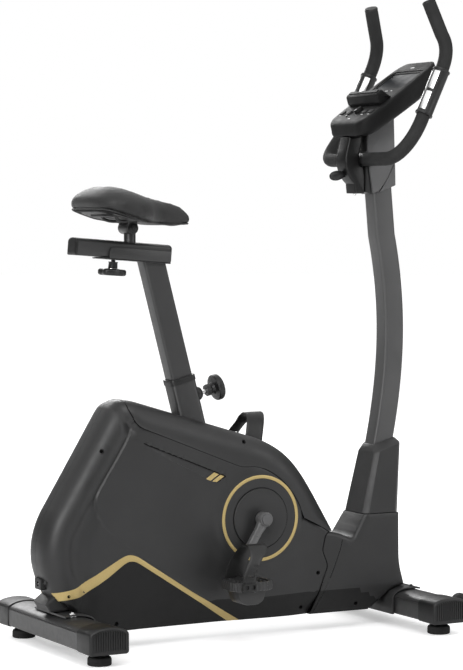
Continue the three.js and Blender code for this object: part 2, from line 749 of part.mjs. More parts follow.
// A curved shoe that carries the brake magnets close to the flywheel's rim.
function brakeShoe() {
  const { x, z, radius } = FLYWHEEL;
  const sector = new THREE.Shape();
  const from = rad(2);
  const to = rad(64);
  sector.absarc(x, z, radius + 12, from, to);
  sector.absarc(x, z, radius + 4, to, from, true);
  const shoe = plateY(sector.getPoints(8), FLYWHEEL.y0, FLYWHEEL.y1);
  const arm = plateY(
    [
      v2(BRAKE_PIVOT.x - 9, BRAKE_PIVOT.z - 6),
      v2(BRAKE_PIVOT.x + 7, BRAKE_PIVOT.z - 6),
      v2(BRAKE_PIVOT.x + 7, BRAKE_PIVOT.z + 8),
      v2(x + radius + 11, z + 20),
      v2(x + radius + 5, z + 8),
    ],
    FLYWHEEL.y0,
    FLYWHEEL.y1,
  );
  const bore = rod(BRAKE_PIVOT.x, BRAKE_PIVOT.z, 4.4, -60, 20, 12);
  add("brake_shoe", cut(join(shoe, arm), bore), paintedSteel);
}

// A roller that presses on the belt's lower run, carried by an arm on the beam.
function idler() {
  const axle = v2(FLYWHEEL.x, FLYWHEEL.z);
  const along = v2(CRANK.x, CRANK.z).sub(axle);
  const drop = PULLEY.radius - FLYWHEEL.pulleyRadius;
  const tilt = along.angle() - Math.asin(drop / along.length());
  const run = v2(Math.cos(tilt), Math.sin(tilt));
  const down = v2(run.y, -run.x);
  const reach = FLYWHEEL.pulleyRadius + BELT.clearance + BELT.thickness + GAP + IDLER_RADIUS;
  const centre = axle.addScaledVector(down, reach).addScaledVector(run, 118);
  const { y0, y1 } = PULLEY;
  const [x, z] = [centre.x, centre.y];
  add("idler_roller", tubeY(x, z, IDLER_RADIUS, 5.4, y0 + 1, y1 - 1), darkPlastic);
  const base = BEAM.top + GAP;
  const plate = [v2(x - 12, base), v2(x + 22, base), v2(x + 8, z + 8), v2(x - 8, z + 8)];
  const arm = join(
    rod(x, z, 5, y0, y1 + 6, 12),
    plateY(plate, y1 + 2, y1 + 6),
    box(x - 12, x + 22, 4, y1 + 6, base, base + 5),
  );
  add("idler_arm", arm, paintedSteel);
}

// ---------------------------------------------------------------- seat

function seatPost() {
  const depth = SEAT_TUBE.depth - 2 * SEAT_TUBE.wall - 2 * GAP;
  const width = SEAT_TUBE.width - 2 * SEAT_TUBE.wall - 2 * GAP;
  const { below, above } = POST;
  const outer = alongSeatTube(plateZ(roundedRect(depth, width, 6), -below, above + 20));
  const hollow = alongSeatTube(plateZ(roundedRect(depth - 5, width - 5, 4), -below - 1, above - 12));
  add("seat_post", cut(outer, hollow, sliderSpace()), paintedSteel);
}

// Everything above the underside of the seat carriage, where the post is cut off.
function sliderSpace() {
  const { width, floor } = CARRIAGE;
  const bottom = -SLIDER.height / 2 - floor - 2 * GAP;
  return onSlider(box(-300, 300, -width, width, bottom, 200));
}

// A solid built around the slider's own centre, with X along it.
function onSlider(manifold) {
  return manifold.rotate([0, SLIDER_SLOPE, 0]).translate([SLIDER.x, 0, SLIDER.z]);
}

function seatCarriage() {
  const { front, rear, width, floor, side } = CARRIAGE;
  const half = width / 2;
  const inner = SLIDER.width / 2 + GAP;
  const base = -SLIDER.height / 2 - GAP;
  const section = [
    v2(-half, base - floor),
    v2(half, base - floor),
    v2(half, base + side),
    v2(inner, base + side),
    v2(inner, base),
    v2(-inner, base),
    v2(-inner, base + side),
    v2(-half, base + side),
  ];
  const knobHole = barZ(5, base - 20, base + 20).translate([SLIDER_KNOB_X, 0, 0]);
  const channel = cut(plateX(section, rear, front), knobHole);
  add("seat_carriage", onSlider(channel), paintedSteel);
}

function seatSlider() {
  const { front, rear, width, height } = SLIDER;
  const half = width / 2;
  const arch = [v2(-half, -height / 2), v2(half, -height / 2)];
  const steps = 8;
  for (let i = 0; i <= steps; i += 1) {
    const across = half * Math.cos((Math.PI * i) / steps);
    arch.push(v2(across, height / 2 - 9 + 9 * Math.sin((Math.PI * i) / steps)));
  }
  const tube = plateX(arch, rear, front);
  const hollow = plateX(inset(arch, 2.5), rear - 1, front + 1);
  const slot = box(-70, 62, -6, 6, -height, -height / 2 + 6);
  const post = barZ(12.5, -15, 15, 18);
  const upright = post.rotate([0, -SLIDER_SLOPE, 0]).translate([33, 0, height / 2 + 6]);
  add("seat_slider", onSlider(join(cut(tube, hollow, slot), upright)), paintedSteel);
}

// A lobed hand knob with a round stem under the carriage.
function sliderKnob() {
  const lobes = 5;
  const outline = [];
  const steps = 30;
  for (let i = 0; i < steps; i += 1) {
    const angle = (2 * Math.PI * i) / steps;
    const reach = 28 + 3.2 * Math.cos(lobes * angle);
    outline.push(v2(reach * Math.cos(angle), reach * Math.sin(angle)));
  }
  const handle = plateZ(outline, -42, -28);
  const stem = turned([
    [0, -29],
    [10, -29],
    [10, -12.6],
    [4.4, -12.6],
    [4.4, -8.5],
    [0, -8.5],
  ]);
  const under = -SLIDER.height / 2 - CARRIAGE.floor + 8.2;
  add("slider_knob", onSlider(join(handle, stem).translate([SLIDER_KNOB_X, 0, under])), darkPlastic);
}

// The spring pin that locks the seat post, with a round pull knob.
function adjustKnob() {
  const profile = [
    [0, -29],
    [4.8, -29],
    [4.8, 4],
    [13, 4],
    [15, 16],
    [27, 19],
    [28.5, 23],
    [28.5, 30],
    [26, 34],
    [0, 35],
  ];
  const knob = turned(profile, 20).rotate([0, 90, 0]).translate([57, 0, -LOCK_DROP]);
  add("adjust_knob", alongSeatTube(knob), darkPlastic);
}

function saddle() {
  add("saddle_clamp", saddleClamp(), chrome);
  add("saddle_rails", saddleRails(), chrome);
  const plan = (grow) => {
    const shape = new THREE.Shape();
    shape.moveTo(-140 - grow, 0);
    shape.bezierCurveTo(-140 - grow, -78, -132, -112 - grow, -74, -112 - grow);
    shape.bezierCurveTo(-12, -112 - grow, 4, -42 - grow, 60, -26 - grow);
    shape.bezierCurveTo(100, -20 - grow, 120 + grow, -18, 120 + grow, 0);
    shape.bezierCurveTo(120 + grow, 18, 100, 20 + grow, 60, 26 + grow);
    shape.bezierCurveTo(4, 42 + grow, -12, 112 + grow, -74, 112 + grow);
    shape.bezierCurveTo(-132, 112 + grow, -140 - grow, 78, -140 - grow, 0);
    return shape.getPoints(5);
  };
  const pan = plateZ(plan(-9), 0, 8);
  const cushion = plateZ(plan(0), 8 + GAP, 50, 12);
  const slope = 6;
  const seatAt = (part) => part.rotate([0, slope, 0]).translate([-228, 0, 909]);
  add("saddle_base", seatAt(pan), darkPlastic);
  add("saddle_cushion", seatAt(cushion), leather);
}

const SADDLE_PIVOT = v3(-258, 0, 888);

// Clamp bolted across the top of the seat slider's upright.
function saddleClamp() {
  const barrel = rod(SADDLE_PIVOT.x, SADDLE_PIVOT.z, 13, -26, 26, 20);
  const upright = box(SADDLE_PIVOT.x - 16, SADDLE_PIVOT.x + 16, -14, 14, 850, SADDLE_PIVOT.z + 1);
  const nuts = rod(SADDLE_PIVOT.x, SADDLE_PIVOT.z, 7, -31, 31, 6);
  return join(cut(barrel, upright), nuts.intersect(box(-400, 0, -40, 40, SADDLE_PIVOT.z - 7, 1000)));
}

// Two bent wires under the seat pan, joined by the cross-piece that the clamp grips.
function saddleRails() {
  const wire = (side) => {
    const path = new THREE.CatmullRomCurve3([
      v3(-318, side * 34, 914.5),
      v3(-300, side * 30, 912),
      v3(-280, side * 22, 906.5),
      v3(-240, side * 20, 905),
      v3(-205, side * 16, 901.5),
      v3(-176, side * 12, 899.5),
    ]);
    return sweep(circle(3.2, 6), path, 9);
  };
  return join(wire(1), wire(-1), box(-272, -246, -24, 24, 902, 907));
}

// ---------------------------------------------------------------- mast and handlebar

const MAST_STEPS = 15;
const MAST_SHOULDER = v3(371, 0, 870);
const MAST_TOP = v3(351, 0, 1092);

// The mast's centre line, bowed forwards, from its foot to a distance past its top.
function mastPath(beyond = 0) {
  const path = new THREE.CurvePath();
  path.add(new THREE.LineCurve3(MAST_FOOT, MAST_KNEE));
  path.add(new THREE.CubicBezierCurve3(MAST_KNEE, v3(402, 0, 582), v3(403, 0, 720), MAST_SHOULDER));
  const up = MAST_TOP.clone().sub(MAST_SHOULDER).normalize();
  path.add(new THREE.LineCurve3(MAST_SHOULDER, MAST_TOP.clone().addScaledVector(up, beyond)));
  return path;
}

function mast() {
  const { width, depth, wall } = MAST;
  const outer = sweep(roundedRect(width, depth, 8), mastPath(), MAST_STEPS);
  const hollow = sweep(roundedRect(width - 2 * wall, depth - 2 * wall, 5.5), mastPath(), MAST_STEPS);
  add("mast", cut(outer, hollow), paintedSteel);
}

function mastHead() {
  const outline = [
    v2(333, 962),
    v2(349, 968),
    v2(392, 981),
    v2(390, 1064),
    v2(387, 1141),
    v2(320, 1096.5),
    v2(322, 1055),
  ];
  const block = plateY(outline, -26.5, 26.5, { thickness: 4, size: 4, segments: 2 });
  const room = roundedRect(MAST.width + 2 * GAP, MAST.depth + 2 * GAP, 8);
  const pocket = sweep(room, mastPath(1), MAST_STEPS);
  const groove = rod(BAR.x, BAR.z, BAR.radius + GAP, -60, 60);
  add("mast_head", cut(block, pocket, groove), greyPlastic);
}

function clampCover() {
  const outline = [
    v2(300, 964),
    v2(329, 963),
    v2(330, 990),
    v2(319, 1030),
    v2(317.5, 1083),
    v2(287, 1083),
    v2(279, 1064),
    v2(275, 1040),
    v2(280, 1012),
    v2(292, 990),
  ];
  const block = plateY(outline, -22, 22, { thickness: 5, size: 4, segments: 2 });
  const groove = rod(BAR.x, BAR.z, BAR.radius + GAP, -60, 60);
  const hole = barX(4.6, -30, 30).rotate([0, -8, 0]).translate([290, 0, 1007]);
  add("clamp_cover", cut(block, groove, hole).intersect(box(0, 329, -60, 60, 0, 2000)), darkPlastic);
}

// An oval paddle on the clamp's screw.
function clampKnob() {
  const paddle = solid(new THREE.SphereGeometry(1, 14, 8).scale(20, 8, 11));
  const knob = join(paddle, barX(4, 16, 52)).rotate([0, -8, 0]);
  add("clamp_knob", knob.translate([256, 0, 1002.3]), darkPlastic);
}

function barHalf(side) {
  const at = (x, y, z) => v3(x, side * y, z);
  return {
    lower: new THREE.CubicBezierCurve3(
      at(BAR.x, BAR.bendY, BAR.z),
      at(BAR.x, 152, BAR.z),
      at(360, 152, 1078),
      at(384, 152, 1133),
    ),
    grip: new THREE.LineCurve3(at(384, 152, 1133), at(431, 152, 1232)),
    bend: new THREE.QuadraticBezierCurve3(at(431, 152, 1232), at(454, 150, 1278), at(441, 136, 1310)),
    tip: new THREE.LineCurve3(at(441, 136, 1310), at(417, 121, 1386)),
  };
}

// The same curve, run the other way.
function reversed(curve) {
  const copy = curve.clone();
  if (copy.isLineCurve3) [copy.v1, copy.v2] = [copy.v2, copy.v1];
  if (copy.isQuadraticBezierCurve3) [copy.v0, copy.v2] = [copy.v2, copy.v0];
  if (copy.isCubicBezierCurve3) {
    [copy.v0, copy.v3] = [copy.v3, copy.v0];
    [copy.v1, copy.v2] = [copy.v2, copy.v1];
  }
  return copy;
}

function handlebar() {
  const right = barHalf(-1);
  const left = barHalf(1);
  const path = new THREE.CurvePath();
  for (const part of ["tip", "bend", "grip", "lower"]) path.add(reversed(right[part]));
  path.add(new THREE.LineCurve3(v3(BAR.x, -BAR.bendY, BAR.z), v3(BAR.x, BAR.bendY, BAR.z)));
  for (const part of ["lower", "grip", "bend", "tip"]) path.add(left[part]);
  add("handlebar", sweep(circle(BAR.radius, 10), path, 46), rubber);
  for (const [name, side] of SIDES) {
    const line = barHalf(side).grip;
    const sleeve = sweep(circle(GRIP_RADIUS, 14), line, 1);
    const from = line.getPoint(-0.1);
    const to = line.getPoint(1.1);
    const bore = sweep(circle(BAR.radius + 1.2, 12), new THREE.LineCurve3(from, to), 1);
    add(`${name}_pulse_grip`, cut(sleeve, bore), darkPlastic);
  }
}

// ---------------------------------------------------------------- console

function consoleUnit() {
  const face = frameAt(CONSOLE.x, 0, CONSOLE.z, -rad(CONSOLE.slope));
  const { length, halfWidth, thickness } = CONSOLE;
  const lip = CONSOLE_LIP;
  const plan = new THREE.Shape();
  plan.moveTo(20, -halfWidth + 3);
  plan.quadraticCurveTo(length / 2, -halfWidth - 4, length - 26, -halfWidth + 8);
  plan.quadraticCurveTo(length, -halfWidth + 14, length, -halfWidth + 40);
  plan.lineTo(length, halfWidth - 40);
  plan.quadraticCurveTo(length, halfWidth - 14, length - 26, halfWidth - 8);
  plan.quadraticCurveTo(length / 2, halfWidth + 4, 20, halfWidth - 3);
  plan.quadraticCurveTo(-lip, halfWidth - 8, -lip, halfWidth - 36);
  plan.lineTo(-lip, -halfWidth + 36);
  plan.quadraticCurveTo(-lip, -halfWidth + 8, 20, -halfWidth + 3);
  const slab = plateZ(plan.getPoints(4), -thickness, 0, 7);
  const side = [
    v2(-1, 5),
    v2(-1, -4),
    v2(-17, -33),
    v2(8, -41),
    v2(63, -43.5),
    v2(165, -46),
    v2(207, -34),
    v2(229, -20),
    v2(length, -3),
    v2(length, 5),
  ];
  const shell = slab.intersect(plateY(side, -100, 100));
  const screenPocket = box(136, 196, -55, 55, -8, 5);
  let housing = cut(shell, screenPocket);
  const shelf = plateY([v2(62, -3), v2(62, 12), v2(72, 25), v2(84, 25), v2(96, -3)], -66, 66);
  housing = join(housing, shelf);
  const half = { along: 6, across: 8 };
  const button = (y, grow, low, high) => box(
    ...[-1, 1].map((t) => 38 + t * (half.along + grow)),
    ...[-1, 1].map((t) => y + t * (half.across + grow)),
    low,
    high,
  );
  const dialWell = barZ(DIAL.radius + DIAL.clearance, -9, 6, 18).translate([DIAL.along, 0, 0]);
  const wells = BUTTON_ROW.map((y) => button(y, GAP, -12, 5));
  add("console_housing", cut(housing, dialWell, ...wells), darkPlastic, face);
  add("console_screen", box(136 + GAP, 196 - GAP, -55 + GAP, 55 - GAP, -8 + GAP, -1), darkGlass, face);
  const dial = turned([
    [0, -7],
    [DIAL.radius, -7],
    [DIAL.radius, 4],
    [DIAL.radius - 1.5, 7],
    [0, 7],
  ]);
  add("console_dial", dial.translate([DIAL.along, 0, 0]), darkPlastic, face);
  BUTTON_ROW.forEach((y, i) => {
    add(`console_button_${i + 1}`, button(y, 0, -8, 2.5), rubber, face);
  });
}

// ---------------------------------------------------------------- build

for (const [place, x] of [["rear", STABILIZER.rearX], ["front", STABILIZER.frontX]]) {
  stabilizerTube(`${place}_stabilizer`, x);
  for (const [name, side] of SIDES) {
    endCap(`${place}_${name}_end_cap`, x, side, place === "front");
    levelingFoot(`${place}_${name}_foot`, x, side);
  }
}
for (const [name, side] of SIDES) transportWheel(`${name}_transport_wheel`, side);
mainFrame();
bodyCovers();
frontCover();
mastBoot();
powerInlet();
crankSet();
drive();
seatPost();
seatCarriage();
seatSlider();
sliderKnob();
adjustKnob();
saddle();
mast();
mastHead();
clampCover();
clampKnob();
handlebar();
consoleUnit();

export default bike;
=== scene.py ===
"""Looks for the upright exercise bike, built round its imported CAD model.

Pieces are drawn in millimetres in the CAD's frame (+X forward, +Y to the rider's left, +Z up)
and scaled to metres when their mesh is made.
"""

import json
import math

import bmesh
import bpy
import numpy as np
from mathutils import Matrix, Vector
from mathutils.geometry import delaunay_2d_cdt

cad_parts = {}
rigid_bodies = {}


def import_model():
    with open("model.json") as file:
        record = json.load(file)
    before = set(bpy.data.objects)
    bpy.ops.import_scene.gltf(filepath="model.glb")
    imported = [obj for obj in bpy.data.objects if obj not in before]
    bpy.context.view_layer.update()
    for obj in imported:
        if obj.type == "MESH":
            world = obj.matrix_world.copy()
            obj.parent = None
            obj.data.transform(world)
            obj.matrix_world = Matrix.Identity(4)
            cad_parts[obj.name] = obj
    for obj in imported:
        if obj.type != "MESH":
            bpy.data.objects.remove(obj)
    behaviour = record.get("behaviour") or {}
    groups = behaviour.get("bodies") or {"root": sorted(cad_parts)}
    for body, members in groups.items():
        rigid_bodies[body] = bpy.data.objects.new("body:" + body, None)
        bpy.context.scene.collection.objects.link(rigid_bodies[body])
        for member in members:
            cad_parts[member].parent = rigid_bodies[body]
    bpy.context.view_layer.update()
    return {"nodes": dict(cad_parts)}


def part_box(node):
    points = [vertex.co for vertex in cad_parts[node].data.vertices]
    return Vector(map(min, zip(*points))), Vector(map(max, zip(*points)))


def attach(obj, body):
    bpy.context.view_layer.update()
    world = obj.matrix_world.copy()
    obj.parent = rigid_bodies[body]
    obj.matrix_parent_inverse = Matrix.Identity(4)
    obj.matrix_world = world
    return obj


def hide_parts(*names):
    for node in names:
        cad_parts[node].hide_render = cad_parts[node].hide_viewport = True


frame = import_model()

MM = 0.001
X, Y, Z = (1, 0, 0), (0, 1, 0), (0, 0, 1)
SIDES = (("left", 1), ("right", -1))
GAP = 0.8  # visible seam between two mouldings

# ---------------------------------------------------------------- camera, floor and light

CAMERA_AT = (-2.59895, -4.81389, 0.92681)
CAMERA_TURN, CAMERA_DIP = math.radians(28.278), math.radians(2.842)
FLOOR_RADIUS = 30
FLOOR_GLOW = 0.42  # keeps the floor as white as the surround
FILL = 0.16
SOFTBOXES = (  # name, place, aim, size, watts
    ("rear_right", (-4.0, -2.6, 2.2), (-0.1, 0, 0.5), (1.6, 2.6), 120),
    ("front_right", (3.6, -3.4, 2.2), (0.1, 0, 0.7), (1.4, 2.6), 45),
    ("high_right", (-0.9, -2.6, 3.3), (0, 0, 0.4), (3.0, 0.8), 45),
    ("far_side", (0.6, 4.4, 2.8), (0, 0, 0.7), (3.0, 1.6), 110),
)


def placed(name, data, at=(0, 0, 0), facing=None):
    """A new object in the scene, turned to look along a direction."""
    made = bpy.data.objects.new(name, data)
    bpy.context.scene.collection.objects.link(made)
    made.location = at
    if facing is not None:
        made.rotation_euler = Vector(facing).to_track_quat("-Z", "Y").to_euler()
    return made


def make_camera():
    data = bpy.data.cameras.new("camera")
    data.lens, data.sensor_width = 135.6, 36
    level = math.cos(CAMERA_DIP)
    look = (math.sin(CAMERA_TURN) * level, math.cos(CAMERA_TURN) * level, -math.sin(CAMERA_DIP))
    bpy.context.scene.camera = placed("camera", data, CAMERA_AT, look)


def make_studio():
    """A pale floor that runs out to a white surround, and large soft lights."""
    mesh = bpy.data.meshes.new("floor")
    work = bmesh.new()
    bmesh.ops.create_circle(work, cap_ends=True, segments=48, radius=FLOOR_RADIUS)
    work.to_mesh(mesh)
    work.free()
    floor = placed("floor", mesh)
    paper = Paint("studio_floor", 0.9, specular=0.1, Emission_Color=(1, 1, 1, 1))
    seen = paper.node("LightPath", "Is Camera Ray")
    paper.set(Base_Color=paper.ramp(paper.noise(0.7), (0, (0.86, 0.86, 0.865)), (1, grey(0.9))),
              Emission_Strength=paper.node("MapRange", "Result", Value=seen, To_Max=FLOOR_GLOW))
    mesh.materials.append(paper.material)

    world = bpy.data.worlds.new("studio")
    bpy.context.scene.world = world
    world.use_nodes = True
    tree = world.node_tree
    seen = add_node(tree, "LightPath", "Is Camera Ray")
    strength = add_node(tree, "MapRange", "Result", Value=seen, To_Min=FILL, To_Max=1.0)
    connect(tree, tree.nodes["Background"], {"Color": (1, 1, 1, 1), "Strength": strength})

    sun = bpy.data.lights.new("sky", "SUN")
    sun.energy, sun.angle = 2.1, math.radians(120)
    placed("sky", sun)
    for name, place, aim, size, watts in SOFTBOXES:
        data = bpy.data.lights.new(name, "AREA")
        data.shape = "RECTANGLE"
        data.size, data.size_y = size
        data.energy = watts
        placed(name, data, place, Vector(aim) - Vector(place))
    view = bpy.context.scene.view_settings
    view.view_transform, view.look = "Standard", "None"


# ---------------------------------------------------------------- materials


def connect(tree, node, inputs):
    """Sets or links a node's inputs. Underscores stand for the spaces in their names."""
    for name, value in inputs.items():
        socket = node.inputs[name.replace("_", " ")]
        if isinstance(value, bpy.types.NodeSocket):
            tree.links.new(value, socket)
        else:
            socket.default_value = value


def add_node(tree, kind, output, **inputs):
    node = tree.nodes.new("ShaderNode" + kind)
    connect(tree, node, inputs)
    return node.outputs[output]


class Paint:
    """Builds one procedural material, whose textures keep their scale in metres."""

    def __init__(self, name, roughness, metallic=0.0, specular=0.5, **fixed):
        self.material = bpy.data.materials.new(name)
        self.material.use_nodes = True
        self.tree = self.material.node_tree
        self.place = self.node("TexCoord", "Object")
        self.height = None
        self.set(Roughness=roughness, Metallic=metallic, Specular_IOR_Level=specular, **fixed)

    def node(self, kind, output, **inputs):
        return add_node(self.tree, kind, output, **inputs)

    def set(self, **inputs):
        connect(self.tree, self.tree.nodes["Principled BSDF"], inputs)

    def stretched(self, scale):
        return self.node("Mapping", "Vector", Vector=self.place, Scale=scale)

    def noise(self, scale, detail=2.0, roughness=0.5, vector=None):
        return self.node("TexNoise", "Fac", Scale=scale, Detail=detail, Roughness=roughness,
                         Vector=vector or self.place)

    def cells(self, scale, feature="F1"):
        distance = self.node("TexVoronoi", "Distance", Scale=scale, Vector=self.place)
        distance.node.feature = feature
        return distance

    def ramp(self, value, *stops):
        colour = self.node("ValToRGB", "Color", Fac=value)
        elements = colour.node.color_ramp.elements
        while len(elements) < len(stops):
            elements.new(0.5)
        for element, (position, tone) in zip(elements, stops):
            element.position, element.color = position, (*tone, 1)
        return colour

    def span(self, value, low, high, from_low=0.3, from_high=0.7):
        return self.node("MapRange", "Result", Value=value, From_Min=from_low, From_Max=from_high,
                         To_Min=low, To_Max=high)

    def bump(self, value, distance, strength):
        under = {} if self.height is None else {"Normal": self.height}
        self.height = self.node("Bump", "Normal", Height=value, Distance=distance, Strength=strength, **under)
        self.set(Normal=self.height)

    def finish(self, cloud, tones, gloss, low, high, *bumps):
        """Colour from one texture, uneven gloss from another, then the relief."""
        self.set(Base_Color=self.ramp(cloud, *tones), Roughness=self.span(gloss, low, high))
        for bump in bumps:
            self.bump(*bump)
        return self.material


def grey(value, blue=1.0):
    return value, value, value * blue


def moulded(name, value, roughness, specular, grain=2200):
    """Moulded plastic with a fine eroded texture, uneven gloss and faint mottling."""
    paint = Paint(name, roughness, specular=specular)
    return paint.finish(paint.noise(7, 3), ((0.35, grey(value * 0.88, 1.015)), (0.65, grey(value * 1.1, 1.015))),
                        paint.noise(38, 3), roughness - 0.05, roughness + 0.06,
                        (paint.noise(grain, 2, 0.6), 0.00006, 0.7), (paint.noise(60, 2), 0.00018, 0.12))


def painted(name, value, roughness, specular):
    """Powder coat with its orange peel, slightly glossier than the mouldings."""
    paint = Paint(name, roughness, specular=specular, Coat_Weight=0.12, Coat_Roughness=0.35)
    return paint.finish(paint.noise(11, 2), ((0.3, grey(value * 0.9, 1.01)), (0.7, grey(value * 1.08, 1.01))),
                        paint.noise(90, 2), roughness - 0.04, roughness + 0.05,
                        (paint.noise(700, 1), 0.00009, 0.5), (paint.cells(2600), 0.00003, 0.4))


def bright_metal(name, value, roughness):
    """Plated or brushed steel with fine drawn lines and smudges."""
    paint = Paint(name, roughness, metallic=1.0)
    drawn = paint.noise(1, 3, 0.7, paint.stretched((6, 900, 900)))
    return paint.finish(paint.noise(14, 3), ((0.3, grey(value * 0.9)), (0.7, grey(value))),
                        drawn, roughness - 0.04, roughness + 0.09, (drawn, 0.00003, 0.25))


def elastic(name, value, roughness, specular=0.35):
    """Rubber: matt, with a dusty bloom in places."""
    paint = Paint(name, roughness, specular=specular)
    bloom = paint.noise(24, 4, 0.65)
    return paint.finish(bloom, ((0.35, grey(value)), (0.75, grey(value * 1.7))), bloom, roughness - 0.06,
                        roughness + 0.06, (paint.noise(900, 3, 0.6), 0.00012, 0.6))


def foam_skin(name):
    paint = Paint(name, 0.72, specular=0.3)
    return paint.finish(paint.noise(30, 3), ((0.3, grey(0.011)), (0.7, grey(0.016))), paint.noise(60, 3), 0.66, 0.8,
                        (paint.cells(1500), 0.00018, 0.35), (paint.noise(160, 3), 0.0004, 0.16))


def leather(name):
    """Saddle leather: pebbled grain with creases and a soft sheen."""
    paint = Paint(name, 0.56, specular=0.38, Sheen_Weight=0.08, Sheen_Roughness=0.4)
    worn = paint.noise(16, 4, 0.6)
    return paint.finish(worn, ((0.35, grey(0.010)), (0.65, grey(0.017)), (0.85, grey(0.022))), worn, 0.5, 0.66,
                        (paint.cells(620, "DISTANCE_TO_EDGE"), 0.0004, 0.3),
                        (paint.noise(1500, 3, 0.6), 0.0001, 0.4), (paint.noise(34, 3), 0.0012, 0.15))


def gold(name):
    """Metallic paint with fine flake."""
    paint = Paint(name, 0.42, metallic=0.35)
    flake = paint.noise(4200, 1)
    return paint.finish(flake, ((0.3, (0.36, 0.27, 0.105)), (0.7, (0.47, 0.36, 0.15))), paint.noise(50, 3),
                        0.36, 0.5, (flake, 0.00003, 0.3))


def iron(name):
    """Turned cast iron, with rings round the flywheel's axle."""
    paint = Paint(name, 0.4, metallic=0.9)
    low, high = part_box("flywheel")
    centred = paint.node("Mapping", "Vector", Vector=paint.place, Location=[-(a + b) / 2 for a, b in zip(low, high)])
    rings = paint.node("TexWave", "Fac", Scale=160, Distortion=0.6, Vector=centred)
    rings.node.wave_type, rings.node.rings_direction = "RINGS", "Y"
    paint.set(Base_Color=paint.ramp(paint.noise(20, 4), (0.3, grey(0.16)), (0.7, grey(0.3))),
              Roughness=paint.span(rings, 0.34, 0.5, 0, 1))
    paint.bump(rings, 0.00008, 0.4)
    return paint.material


def glass(name):
    """The display's dark window, with a faint panel behind it."""
    paint = Paint(name, 0.35, specular=0.03)
    rows = paint.noise(1, 1, 0.5, paint.stretched((30, 4, 60)))
    return paint.finish(rows, ((0.3, (0.004, 0.005, 0.006)), (0.7, (0.011, 0.013, 0.015))), paint.noise(25, 3),
                        0.3, 0.42)


def ink(name):
    paint = Paint(name, 0.5)
    paint.set(Base_Color=paint.ramp(paint.noise(900, 2), (0.3, grey(0.6)), (0.7, grey(0.78))))
    return paint.material


LOOKS = {name: make(name, *values) for name, make, *values in (
    ("shell_plastic", moulded, 0.016, 0.44, 0.42),
    # Painted shade: a darker copy of the shell plastic for the zone low on the sides, where they turn downwards.
    ("shell_dark", moulded, 0.006, 0.5, 0.26),
    ("trim_plastic", moulded, 0.008, 0.42, 0.38),
    ("grey_plastic", moulded, 0.08, 0.5, 0.4),
    ("console_plastic", moulded, 0.006, 0.55, 0.16, 1800),
    ("grip_plastic", moulded, 0.01, 0.45, 0.4),
    ("pulley_plastic", moulded, 0.02, 0.5, 0.4),
    ("pedal_plastic", moulded, 0.02, 0.42, 0.5),
    ("gloss_black", moulded, 0.003, 0.38, 0.3),
    # Near-black and barely reflective: painted shadow in the seams and screw wells; the saddle pan uses it too.
    ("seam_black", moulded, 0.002, 0.7, 0.1),
    ("frame_paint", painted, 0.022, 0.4, 0.42),
    ("mast_paint", painted, 0.05, 0.4, 0.45),
    ("crank_steel", painted, 0.085, 0.3, 0.6),
    ("chrome", bright_metal, 0.75, 0.16),
    ("bright_plate", bright_metal, 0.92, 0.3),
    ("flywheel_iron", iron),
    ("foot_rubber", elastic, 0.012, 0.75),
    ("wheel_rubber", elastic, 0.012, 0.7),
    ("strap_rubber", elastic, 0.005, 0.42, 0.45),
    ("button_rubber", elastic, 0.012, 0.6),
    ("bar_foam", foam_skin),
    ("saddle_leather", leather),
    ("gold_trim", gold),
    ("screen_plastic", glass),
    ("label_ink", ink),
)}


# ---------------------------------------------------------------- outlines and meshes


def unit(vectors):
    return vectors / np.maximum(np.linalg.norm(vectors, axis=-1, keepdims=True), 1e-9)


def arc(cx, cz, radius, start, stop, steps):
    """Points on an arc, with its angles in degrees."""
    turn = np.radians(np.linspace(start, stop, steps + 1))
    return np.c_[cx + radius * np.cos(turn), cz + radius * np.sin(turn)]


def circle(cx, cz, radius, steps=32):
    return arc(cx, cz, radius, 0, 360, steps)[:-1]


def bezier(*control, steps=8):
    """A Bezier curve of any degree, in 2-D or 3-D."""
    control = np.array(control, float)
    degree = len(control) - 1
    t = np.linspace(0, 1, steps + 1)[:, None]
    return sum(math.comb(degree, i) * t**i * (1 - t) ** (degree - i) * control[i] for i in range(degree + 1))


def rounded_box(width, height, radius, steps=5):
    """A rectangle with rounded corners, centred on the origin."""
    x, z = width / 2 - radius, height / 2 - radius
    corners = ((x, -z, -90), (x, z, 0), (-x, z, 90), (-x, -z, 180))
    return np.vstack([arc(cx, cz, radius, a, a + 90, steps) for cx, cz, a in corners])


def square(x0, x1, z0, z1):
    return np.array(((x0, z0), (x1, z0), (x1, z1), (x0, z1)), float)


def loop(line):
    """An outline with its first point again at its end."""
    return np.vstack((line, line[:1]))


def both_halves(half):
    """An outline from its half on one side of its first axis."""
    return np.vstack((half, (half[1:-1] * (1, -1))[::-1]))


def resample(line, spacing):
    """The same polyline with points no further apart than the spacing. Its corners stay."""
    line = np.array(line, float)
    out = [line[:1]]
    for a, b in zip(line[:-1], line[1:]):
        count = max(1, math.ceil(np.linalg.norm(b - a) / spacing))
        out.append(a + (b - a) * np.linspace(0, 1, count + 1)[1:, None])
    return np.vstack(out)


def soften(line, radius):
    """An open polyline with its corners rounded, each within a radius of the corner."""
    line = [np.array(p, float) for p in line]
    out = [line[0]]
    for a, b, c in zip(line[:-2], line[1:-1], line[2:]):
        before = b + (a - b) * min(0.5, radius / np.linalg.norm(a - b))
        after = b + (c - b) * min(0.5, radius / np.linalg.norm(c - b))
        out.extend(bezier(before, b, after, steps=4))
    return np.array([*out, line[-1]])


def lengths_along(line):
    return np.r_[0, np.cumsum(np.linalg.norm(np.diff(line, axis=0), axis=1))]


def cut_at(line, wanted):
    """Points of a polyline at wanted lengths along it."""
    lengths = lengths_along(line)
    return np.stack([np.interp(wanted, lengths, line[:, k]) for k in range(line.shape[1])], -1)


